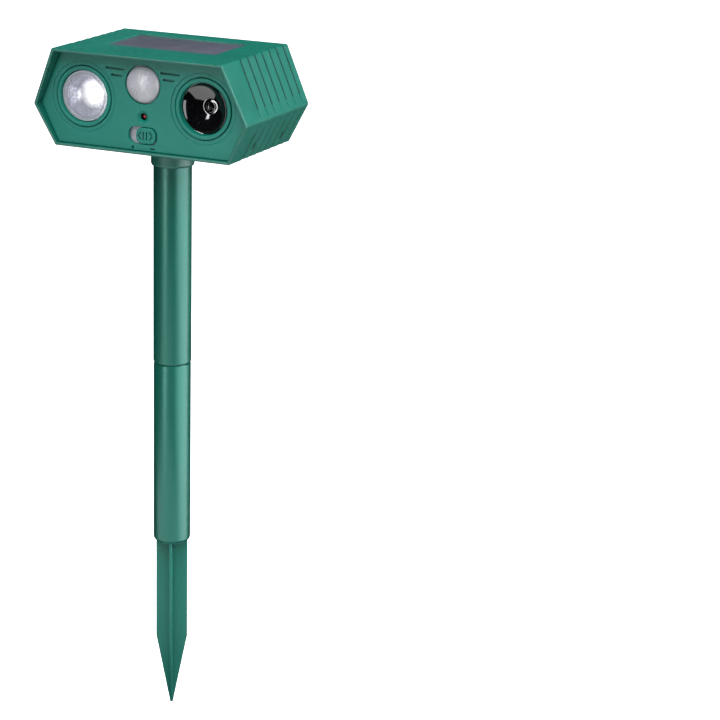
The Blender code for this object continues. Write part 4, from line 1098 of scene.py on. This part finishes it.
class REPELLER_OT_speaker(RepellerOperator):
    """The speaker: polished black dish, throat ring and centre dome"""

    bl_idname = "repeller.speaker"
    bl_label = "Speaker"

    def execute(self, context):
        centre = (EYE_X, PANEL_Y, EYE_Z)
        steps = 22
        dish = []
        for k in range(steps + 1):
            share = math.sin(math.pi / 2 * k / steps)
            dish.append((0.0036 + 0.0116 * share, -0.0104 + 0.0048 * share ** 1.2 + 0.0013 * share ** 5))
        throat = [(0.0, -0.0105), (0.0022, -0.0105), (0.0027, -0.0102), (0.0030, -0.0097), (0.0033, -0.0097)]
        rim = [(0.0158, -0.0042), (0.0172, -0.0042), (0.0172, -0.0053), (0.0160, -0.0060), (0.0140, -0.0090)]
        rim += [(0.0060, -0.0118), (0.0, -0.0118)]
        bm = lathe(throat + dish[1:] + rim, centre, "front", 128)
        finish_piece("speaker_dish", bm, "head", "gloss_black", ["speaker_horn"], math.radians(50))

        ball = [(0.0020 * math.sin(a), -0.0082 + 0.0014 * math.cos(a))
                for a in (math.pi * 0.78 * k / 14 for k in range(15))]
        ball += [(0.0011, -0.0097), (0.0018, -0.0101), (0.0020, -0.0102), (0.0, -0.0102)]
        bm = lathe(ball, centre, "front", 48)
        finish_piece("speaker_ball", bm, "head", "gloss_black", ["speaker_dome"], math.radians(50))
        return {"FINISHED"}


class REPELLER_OT_motion_eye(RepellerOperator):
    """The motion eye's milky lens with its rings of small facets"""

    bl_idname = "repeller.motion_eye"
    bl_label = "Motion Eye"

    def execute(self, context):
        radius, sink, rise, wall = 0.0109, -0.0008, 0.0044, 0.0009
        steps = 40
        cap = []
        for k in range(steps + 1):
            a = math.pi / 2 * k / steps
            cap.append((radius * math.sin(a), sink + rise * math.cos(a) ** 1.15))
        behind = -(PANEL_THICKNESS + GAP)
        profile = cap + [(radius, behind), (0.0128, behind)]
        profile += [(0.0128, behind - 0.0009), (radius - wall, behind - 0.0009)]
        inner = []
        for k in range(8, -1, -1):
            a = math.pi / 2 * k / 8
            inner.append(((radius - wall) * math.sin(a), sink + (rise - wall) * math.cos(a)))
        bm = lathe(profile + inner, (0, 0, 0), "up", 144)
        self.facet(bm, radius, sink)
        facing = Matrix.Translation((0, PANEL_Y, PIR_Z)) @ Matrix.Rotation(math.pi / 2, 4, "X")
        bmesh.ops.transform(bm, matrix=facing, verts=bm.verts)
        finish_piece("motion_lens", bm, "head", "milky_lens", ["pir_lens"], math.radians(40))
        return {"FINISHED"}

    @staticmethod
    def facet(bm, radius, sink):
        """Presses shallow grooves between the lens's cells: one in the middle, then rings of 6, 12 and 18."""
        rings = ((0.0, 0.20, 1), (0.20, 0.47, 6), (0.47, 0.75, 12), (0.75, 0.97, 18))
        for vert in bm.verts:
            reach = math.hypot(vert.co.x, vert.co.y) / radius
            if vert.co.z < sink + 0.0001 or reach > 0.97 or vert.normal.z < 0:
                continue
            turn = (math.atan2(vert.co.y, vert.co.x) / FULL_TURN) % 1.0
            for start, end, count in rings:
                if start <= reach < end:
                    across = abs((reach - start) / (end - start) - 0.5) * 2
                    along = abs((turn * count + 0.25 * count) % 1.0 - 0.5) * 2 if count > 1 else 0.0
                    edge = max(across, along)
                    vert.co.z -= 0.00013 * edge ** 4
                    break


class REPELLER_OT_indicator(RepellerOperator):
    """Small red indicator in its countersunk hole"""

    bl_idname = "repeller.indicator"
    bl_label = "Indicator"

    def execute(self, context):
        dome = [(0.0015 * math.sin(math.pi / 2 * k / 8), -0.0038 + 0.0015 * math.cos(math.pi / 2 * k / 8))
                for k in range(9)]
        dome += [(0.0015, -0.0053), (0.0018, -0.0053), (0.0018, -0.0062), (0.0, -0.0062)]
        bm = lathe(dome, (0, PANEL_Y, INDICATOR_Z), "front", 40)
        finish_piece("indicator_dome", bm, "head", "red_led", ["indicator_led"])
        return {"FINISHED"}


class REPELLER_OT_switch(RepellerOperator):
    """Slide switch: its rounded knob with two bars and two arrows, over a pale plate"""

    bl_idname = "repeller.switch"
    bl_label = "Slide Switch"

    def execute(self, context):
        back = PANEL_Y + PANEL_THICKNESS
        front = PANEL_Y - 0.0003
        thick = back - front
        shape = rounded_box(KNOB_X, SWITCH_Z, 0.0129, 0.0097, 0.0040, 12)
        edge = [(-0.0009, 0.0), (-0.0004, 0.00003), (-0.00015, 0.00012), (-0.00003, 0.00030)]
        edge += [(0.0, 0.0006), (0.0, thick)]
        bm = bmesh.new()
        fronts, last = skin(bm, facing_rings(shape, edge, front))
        groove = [(0.00008, 0.0), (0.0, 0.00005), (-0.00002, 0.00052), (-0.00006, 0.0006)]
        for x in (-0.0016, 0.0006):
            bar = rounded_box(KNOB_X + x, SWITCH_Z, 0.00080, 0.0050, 0.0002, 4)
            engrave(bm, bar, groove, front, fronts)
        for side, tip in ((-1, -0.0049), (1, 0.0044)):
            engrave(bm, self.arrow(KNOB_X + tip, side), groove, front, fronts)
        fill(bm, fronts, (0, -1, 0))
        socket = rounded_box(KNOB_X, SWITCH_Z, 0.0040, 0.0026, 0.0002, 2)
        hollow, floor = skin(bm, facing_rings(socket, [(0.0, 0.0), (0.0, -0.0014)], back))
        close_loop(bm, floor)
        fill(bm, last + hollow, (0, 1, 0))
        bmesh.ops.recalc_face_normals(bm, faces=bm.faces)
        finish_piece("slide_knob", bm, "knob", "panel_green", ["switch_knob"])
        return {"FINISHED"}

    @staticmethod
    def arrow(tip_x, side, reach=0.0018, rise=0.0023, half=0.00038):
        """An outline function for a chevron that points to one side."""
        def points(offset):
            wide = half + offset
            slope = math.hypot(reach, rise)
            across = wide * slope / rise
            end = rise + offset
            back = tip_x - side * reach * end / rise
            spots = [(tip_x + side * across, SWITCH_Z), (back + side * across, SWITCH_Z + end)]
            spots += [(back - side * across, SWITCH_Z + end), (tip_x - side * across, SWITCH_Z)]
            spots += [(back - side * across, SWITCH_Z - end), (back + side * across, SWITCH_Z - end)]
            return spots
        return points


class REPELLER_OT_solar_panel(RepellerOperator):
    """Solar panel with its cell lines, under a clear cover"""

    bl_idname = "repeller.solar_panel"
    bl_label = "Solar Panel"

    def execute(self, context):
        bottom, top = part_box("solar_panel")
        bm = block(bottom, top, 0.00025)
        finish_piece("solar_face", bm, "head", "solar_cell", ["solar_panel"])
        return {"FINISHED"}


class REPELLER_OT_pole(RepellerOperator):
    """The two round tubes, chamfered where they meet"""

    bl_idname = "repeller.pole"
    bl_label = "Pole"

    def execute(self, context):
        spigot, wall, plug_top = 0.0099, 0.0016, high("ground_spike").z
        top, radius = high("upper_tube").z, TUBE_RADIUS
        joint = TUBE_JOINT + GAP / 2
        profile = [(radius - 0.0002, top), (radius, top - 0.0002), (radius, joint + 0.0011)]
        profile += [(radius - 0.00005, joint + 0.0008), (radius - 0.0002, joint + 0.0005)]
        profile += [(radius - 0.0006, joint), (spigot + GAP, joint), (spigot + GAP, top)]
        finish_piece("pole_upper", lathe(profile, (0, 0, 0)), "upper_pole", "pole_green", ["upper_tube"])

        radius, shoulder = LOWER_TUBE_RADIUS, TUBE_JOINT - GAP / 2
        spigot_top, bore, inner = high("lower_tube").z, 0.0103, spigot - wall
        profile = [(inner, spigot_top), (spigot - 0.0006, spigot_top), (spigot, spigot_top - 0.0006)]
        profile += [(spigot, shoulder), (radius - 0.0006, shoulder), (radius - 0.0002, shoulder - 0.0005)]
        profile += [(radius - 0.00005, shoulder - 0.0008), (radius, shoulder - 0.0011), (radius, 0.0016)]
        profile += [(radius - 0.00008, 0.0012), (radius - 0.0003, 0.0006), (radius - 0.0007, 0.0)]
        profile += [(bore, 0.0), (bore, plug_top + GAP), (inner, plug_top + GAP)]
        finish_piece("pole_lower", lathe(profile, (0, 0, 0)), "lower_pole", "pole_green", ["lower_tube"])
        return {"FINISHED"}


class REPELLER_OT_spike(RepellerOperator):
    """Ground spike: round plug, shoulder disc and four tapered vanes"""

    bl_idname = "repeller.spike"
    bl_label = "Ground Spike"

    VANE_TURN = math.radians(22)

    def execute(self, context):
        plug_top, tip, shoulder = high("ground_spike").z, GROUND_Z, -0.067
        plug = [(0, plug_top), (0.0092, plug_top), (0.0098, plug_top - 0.0003), (0.0100, plug_top - 0.0009)]
        plug += [(0.0100, -0.0008), (0.00985, -0.0011), (0.0096, -0.0012), (0, -0.0012)]
        bm = lathe(plug, (0, 0, 0))
        for index in range(2):
            turn = self.VANE_TURN + index * math.pi / 2
            join(bm, self.vane_pair(shoulder - 0.0003 * index, tip + 0.0004 * index, turn))
        finish_piece("spike", bm, "spike", "spike_green", ["ground_spike"])
        return {"FINISHED"}

    @staticmethod
    def vane_pair(shoulder, tip, turn, reach=0.0099, half=0.0008):
        """Two opposite vanes as one blade, tapered to its point under the shoulder."""
        bm = bmesh.new()
        bmesh.ops.create_cube(bm, size=1.0, matrix=Matrix.Diagonal((2 * reach, 2 * half, 1.0, 1.0)))
        for vert in bm.verts:
            vert.co.z = 0.0012 if vert.co.z > 0 else tip
        whole = bm.verts[:] + bm.edges[:] + bm.faces[:]
        bmesh.ops.bisect_plane(bm, geom=whole, plane_co=(0, 0, shoulder), plane_no=(0, 0, 1))
        for vert in bm.verts:
            if vert.co.z < shoulder - 0.001:
                vert.co.x *= half / reach
        bevel_sharp(bm, 0.00028, math.radians(20), 3)
        bmesh.ops.rotate(bm, verts=bm.verts, cent=(0, 0, 0), matrix=Matrix.Rotation(turn, 3, "Z"))
        return bm


class REPELLER_OT_rear_cover(RepellerOperator):
    """Rear cover with its screw recesses and charging port"""

    bl_idname = "repeller.rear_cover"
    bl_label = "Rear Cover"

    def execute(self, context):
        head = context.scene.repeller_head
        section = HeadOutline(head)
        front = low("rear_cover").y
        thick = BACK_Y - front
        inset = head.rim_wall + GAP
        edge = [(0.0008, 0.0), (0.0004, 0.0), (0.00012, -0.00012), (0.0, -0.0004), (0.0, -thick)]
        bm = bmesh.new()
        first, last = skin(bm, facing_rings(lambda more: section.outline(inset + more), edge, BACK_Y))
        outers, inners = list(first), list(last)
        for spot in frame_screws("cover_screw"):
            hole = [(0.0018, 0.0), (0.0015, 0.0), (0.0014, -0.0001), (0.0014, -0.0018), (0.0, -0.0018)]
            pierce(bm, circle(spot.x, spot.z, 0.0018, 48), [*hole, (0.0, -thick)], BACK_Y, outers, inners)
        x = (low("charge_plug").x + high("charge_plug").x) / 2
        z = (low("charge_plug").z + high("charge_plug").z) / 2
        recess = rounded_box(x, z, 0.0166, 0.0096, 0.0035, 8)
        lip = [(0.0005, 0.0), (0.0002, 0.0), (0.0, -0.0002), (0.0, -0.0015)]
        first, last = skin(bm, facing_rings(recess, lip, BACK_Y))
        outers += first
        port = rounded_box(x, z, 0.0112, 0.0056, 0.0024, 8)
        throat, end = skin(bm, facing_rings(port, [(0.0, -0.0015), (0.0, -thick)], BACK_Y))
        fill(bm, last + throat, (0, 1, 0))
        inners += end
        fill(bm, outers, (0, 1, 0))
        fill(bm, inners, (0, -1, 0))
        bmesh.ops.recalc_face_normals(bm, faces=bm.faces)
        finish_piece("cover_plate", bm, "head", "head_green", ["rear_cover"])
        return {"FINISHED"}


class REPELLER_OT_cover_screws(RepellerOperator):
    """Four cross-head screws in the rear cover"""

    bl_idname = "repeller.cover_screws"
    bl_label = "Cover Screws"

    def execute(self, context):
        for number in range(1, 5):
            node = f"cover_screw_{number}"
            spot = (low(node) + high(node)) / 2
            end, outside = low(node).y, high(node).y
            under = outside - 0.0014
            head_radius, shank = 0.0028, 0.0015
            shape = circle(spot.x, spot.z, head_radius, 40)
            steps = [(-0.0010, -0.00002), (-0.0006, -0.00008), (-0.00025, -0.0003), (0.0, -0.0006)]
            steps += [(0.0, under - outside), (shank - head_radius, under - outside)]
            steps += [(shank - head_radius, end - outside + 0.001), (0.0003 - head_radius, end - outside)]
            bm = bmesh.new()
            first, last = skin(bm, facing_rings(shape, steps, outside))
            cross = self.cross(spot)
            rim, floor = skin(bm, facing_rings(cross, [(0.0, -0.00002), (-0.00012, -0.0009)], outside))
            close_loop(bm, floor)
            fill(bm, first + rim, (0, 1, 0))
            close_loop(bm, last)
            bmesh.ops.recalc_face_normals(bm, faces=bm.faces)
            finish_piece(f"case_screw_{number}", bm, "head", "bright_metal", [node])
        return {"FINISHED"}

    @staticmethod
    def cross(spot, arm=0.0013, half=0.00032):
        """An outline function for a cross recess."""
        def points(offset):
            a, h = arm + offset, half + offset
            corners = [(a, -h), (a, h), (h, h), (h, a), (-h, a), (-h, h)]
            corners += [(-a, h), (-a, -h), (-h, -h), (-h, -a), (h, -a), (h, -h)]
            return [(spot.x + px, spot.z + pz) for px, pz in corners]
        return points


class REPELLER_OT_charge_plug(RepellerOperator):
    """Rubber plug over the charging port, with a shallow finger groove"""

    bl_idname = "repeller.charge_plug"
    bl_label = "Charge Plug"

    def execute(self, context):
        bottom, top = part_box("charge_plug")
        x, z = (bottom.x + top.x) / 2, (bottom.z + top.z) / 2
        flap = rounded_box(x, z, 0.0160, 0.0090, 0.0032, 8)
        edge = [(-0.0009, 0.0), (-0.0005, 0.0), (-0.00015, -0.00015), (0.0, -0.0005), (0.0, -0.0012)]
        bm = bmesh.new()
        outer, under = skin(bm, facing_rings(flap, edge, BACK_Y))
        outers = list(outer)
        pinch = rounded_box(x - 0.0052, z, 0.0018, 0.0050, 0.0007, 5)
        engrave(bm, pinch, [(0.0003, 0.0), (0.0, -0.0002), (-0.0003, -0.0006)], BACK_Y, outers)
        fill(bm, outers, (0, 1, 0))
        stub = rounded_box(x, z, 0.0106, 0.0050, 0.0021, 8)
        deep = bottom.y - BACK_Y
        sides = [(0.0, -0.0012), (0.0, deep + 0.0004), (-0.0003, deep)]
        root, tip = skin(bm, facing_rings(stub, sides, BACK_Y))
        fill(bm, under + root, (0, -1, 0))
        close_loop(bm, tip)
        bmesh.ops.recalc_face_normals(bm, faces=bm.faces)
        finish_piece("port_plug", bm, "plug", "black_rubber", ["charge_plug"])
        return {"FINISHED"}


class REPELLER_OT_inner_finishes(RepellerOperator):
    """Gives every piece that keeps its frame shape the finish of its slot"""

    bl_idname = "repeller.inner_finishes"
    bl_label = "Inner Finishes"

    def execute(self, context):
        for part in frame["record"]["subparts"]:
            obj = frame["nodes"][part["node"]]
            for place in obj.material_slots:
                place.material = finish_named(part["material_slot"])
        return {"FINISHED"}


# ------------------------------------------------------------ studio
class REPELLER_OT_studio(RepellerOperator):
    """Camera, pale floor and soft lights"""

    bl_idname = "repeller.studio"
    bl_label = "Studio"

    MIDDLE = (0.0, 0.0, 0.2)
    ROOF_LEFT = (-0.06, 0.0, 0.315)
    SPIKE_MIDDLE = (0.0, 0.0, -0.05)
    CARD_OVER = (-0.07, -0.36, 0.0)
    # name, aimed at, azimuth and elevation in degrees, distance, width, height, power, what it lights
    SOFTBOXES = (
        ("top_softbox", MIDDLE, 15.0, 55.0, 1.5, 1.5, 1.2, 17.0, "matt"),
        ("right_softbox", MIDDLE, 104.0, 27.0, 1.5, 0.9, 0.9, 17.5, "all"),
        ("right_strip", MIDDLE, 104.0, -14.0, 1.4, 1.5, 1.5, 32.0, "gloss"),
        ("left_strip", MIDDLE, -17.0, 6.0, 1.4, 0.24, 1.3, 12.0, "gloss"),
        ("front_strip", MIDDLE, 64.0, 4.0, 1.4, 0.55, 1.5, 10.0, "gloss"),
        ("back_card", ROOF_LEFT, -145.0, 22.0, 0.34, 0.22, 0.16, 0.9, "matt"),
        ("spike_card", SPIKE_MIDDLE, 25.0, -10.0, 0.26, 0.20, 0.16, 0.09, "matt"),
        ("floor_card", CARD_OVER, 0.0, -90.0, 0.11, 0.62, 0.60, 2.2, "gloss"),
    )

    def execute(self, context):
        studio = context.scene.repeller_studio
        self.place_camera(context, studio)
        self.lay_floor(context, studio)
        self.light_room(context, studio)
        for row in self.SOFTBOXES:
            self.hang_softbox(context, *row)
        return {"FINISHED"}

    def place_camera(self, context, studio):
        back = direction(studio.azimuth, studio.elevation)
        right = Vector((math.cos(studio.azimuth), math.sin(studio.azimuth), 0))
        up = back.cross(right)
        roll = studio.roll
        turned_right = right * math.cos(roll) + up * math.sin(roll)
        turned_up = up * math.cos(roll) - right * math.sin(roll)
        data = bpy.data.cameras.new("camera")
        data.lens = studio.lens
        data.sensor_width = 36.0
        data.clip_end = 60.0
        obj = bpy.data.objects.new("camera", data)
        context.scene.collection.objects.link(obj)
        facing = Matrix((turned_right, turned_up, back)).transposed().to_4x4()
        obj.matrix_world = Matrix.Translation(studio.place) @ facing
        context.scene.camera = obj

    def lay_floor(self, context, studio):
        bm = bmesh.new()
        bmesh.ops.create_grid(bm, x_segments=1, y_segments=1, size=studio.floor_size)
        bmesh.ops.translate(bm, verts=bm.verts, vec=(0, 0, GROUND_Z - 0.0002))
        mesh = bpy.data.meshes.new("floor")
        bm.to_mesh(mesh)
        bm.free()
        mat, _tree, shader = new_finish("pale_floor", (0.92, 0.92, 0.92), 0.9)
        shader.inputs["Specular IOR Level"].default_value = 0.0
        shader.inputs["Emission Color"].default_value = (1, 1, 1, 1)
        shader.inputs["Emission Strength"].default_value = studio.floor_glow
        mesh.materials.append(mat)
        obj = bpy.data.objects.new("floor", mesh)
        context.scene.collection.objects.link(obj)
        obj.visible_diffuse = False
        obj.visible_glossy = False
        obj.visible_shadow = False

    def light_room(self, context, studio):
        world = bpy.data.worlds.new("room")
        world.use_nodes = True
        back = world.node_tree.nodes["Background"]
        back.inputs["Color"].default_value = (1.0, 1.0, 1.0, 1.0)
        back.inputs["Strength"].default_value = studio.sky
        context.scene.world = world
        world.cycles_visibility.glossy = False
        context.scene.view_settings.view_transform = "Standard"

    def hang_softbox(self, context, name, target, azimuth, elevation, distance, width, height, power, lights):
        away = direction(math.radians(azimuth), math.radians(elevation))
        data = bpy.data.lights.new(name, "AREA")
        data.shape = "RECTANGLE"
        data.size, data.size_y = width, height
        data.energy = power
        obj = bpy.data.objects.new(name, data)
        context.scene.collection.objects.link(obj)
        obj.location = Vector(target) + away * distance
        obj.rotation_euler = away.to_track_quat("Z", "Y").to_euler()
        obj.visible_camera = False
        obj.visible_diffuse = lights != "gloss"
        obj.visible_glossy = lights != "matt"


class REPELLER_PT_panel(bpy.types.Panel):
    """Sidebar panel with every maker and the sizes and colours they use"""

    bl_label = "Garden Repeller"
    bl_idname = "REPELLER_PT_panel"
    bl_space_type = "VIEW_3D"
    bl_region_type = "UI"
    bl_category = "Repeller"

    def draw(self, context):
        layout = self.layout
        for maker in MAKERS:
            layout.operator(maker.bl_idname)
        for group in SETTINGS:
            box = layout.box()
            values = getattr(context.scene, group)
            for name in values.__annotations__:
                box.prop(values, name)


SETTINGS = {
    "repeller_head": HeadSettings,
    "repeller_panel": PanelSettings,
    "repeller_finish": FinishSettings,
    "repeller_studio": StudioSettings,
}
MAKERS = (
    REPELLER_OT_studio,
    REPELLER_OT_inner_finishes,
    REPELLER_OT_head_shell,
    REPELLER_OT_pole_collar,
    REPELLER_OT_front_plate,
    REPELLER_OT_eye_rings,
    REPELLER_OT_light,
    REPELLER_OT_speaker,
    REPELLER_OT_motion_eye,
    REPELLER_OT_indicator,
    REPELLER_OT_switch,
    REPELLER_OT_solar_panel,
    REPELLER_OT_pole,
    REPELLER_OT_spike,
    REPELLER_OT_rear_cover,
    REPELLER_OT_cover_screws,
    REPELLER_OT_charge_plug,
)


def register():
    for name, group in SETTINGS.items():
        bpy.utils.register_class(group)
        setattr(bpy.types.Scene, name, PointerProperty(type=group))
    for cls in (*MAKERS, REPELLER_PT_panel):
        bpy.utils.register_class(cls)


def unregister():
    for cls in (REPELLER_PT_panel, *reversed(MAKERS)):
        bpy.utils.unregister_class(cls)
    for name, group in reversed(SETTINGS.items()):
        delattr(bpy.types.Scene, name)
        bpy.utils.unregister_class(group)


def main():
    register()
    for maker in MAKERS:
        area, action = maker.bl_idname.split(".")
        getattr(getattr(bpy.ops, area), action)()


if __name__ == "__main__":
    main()
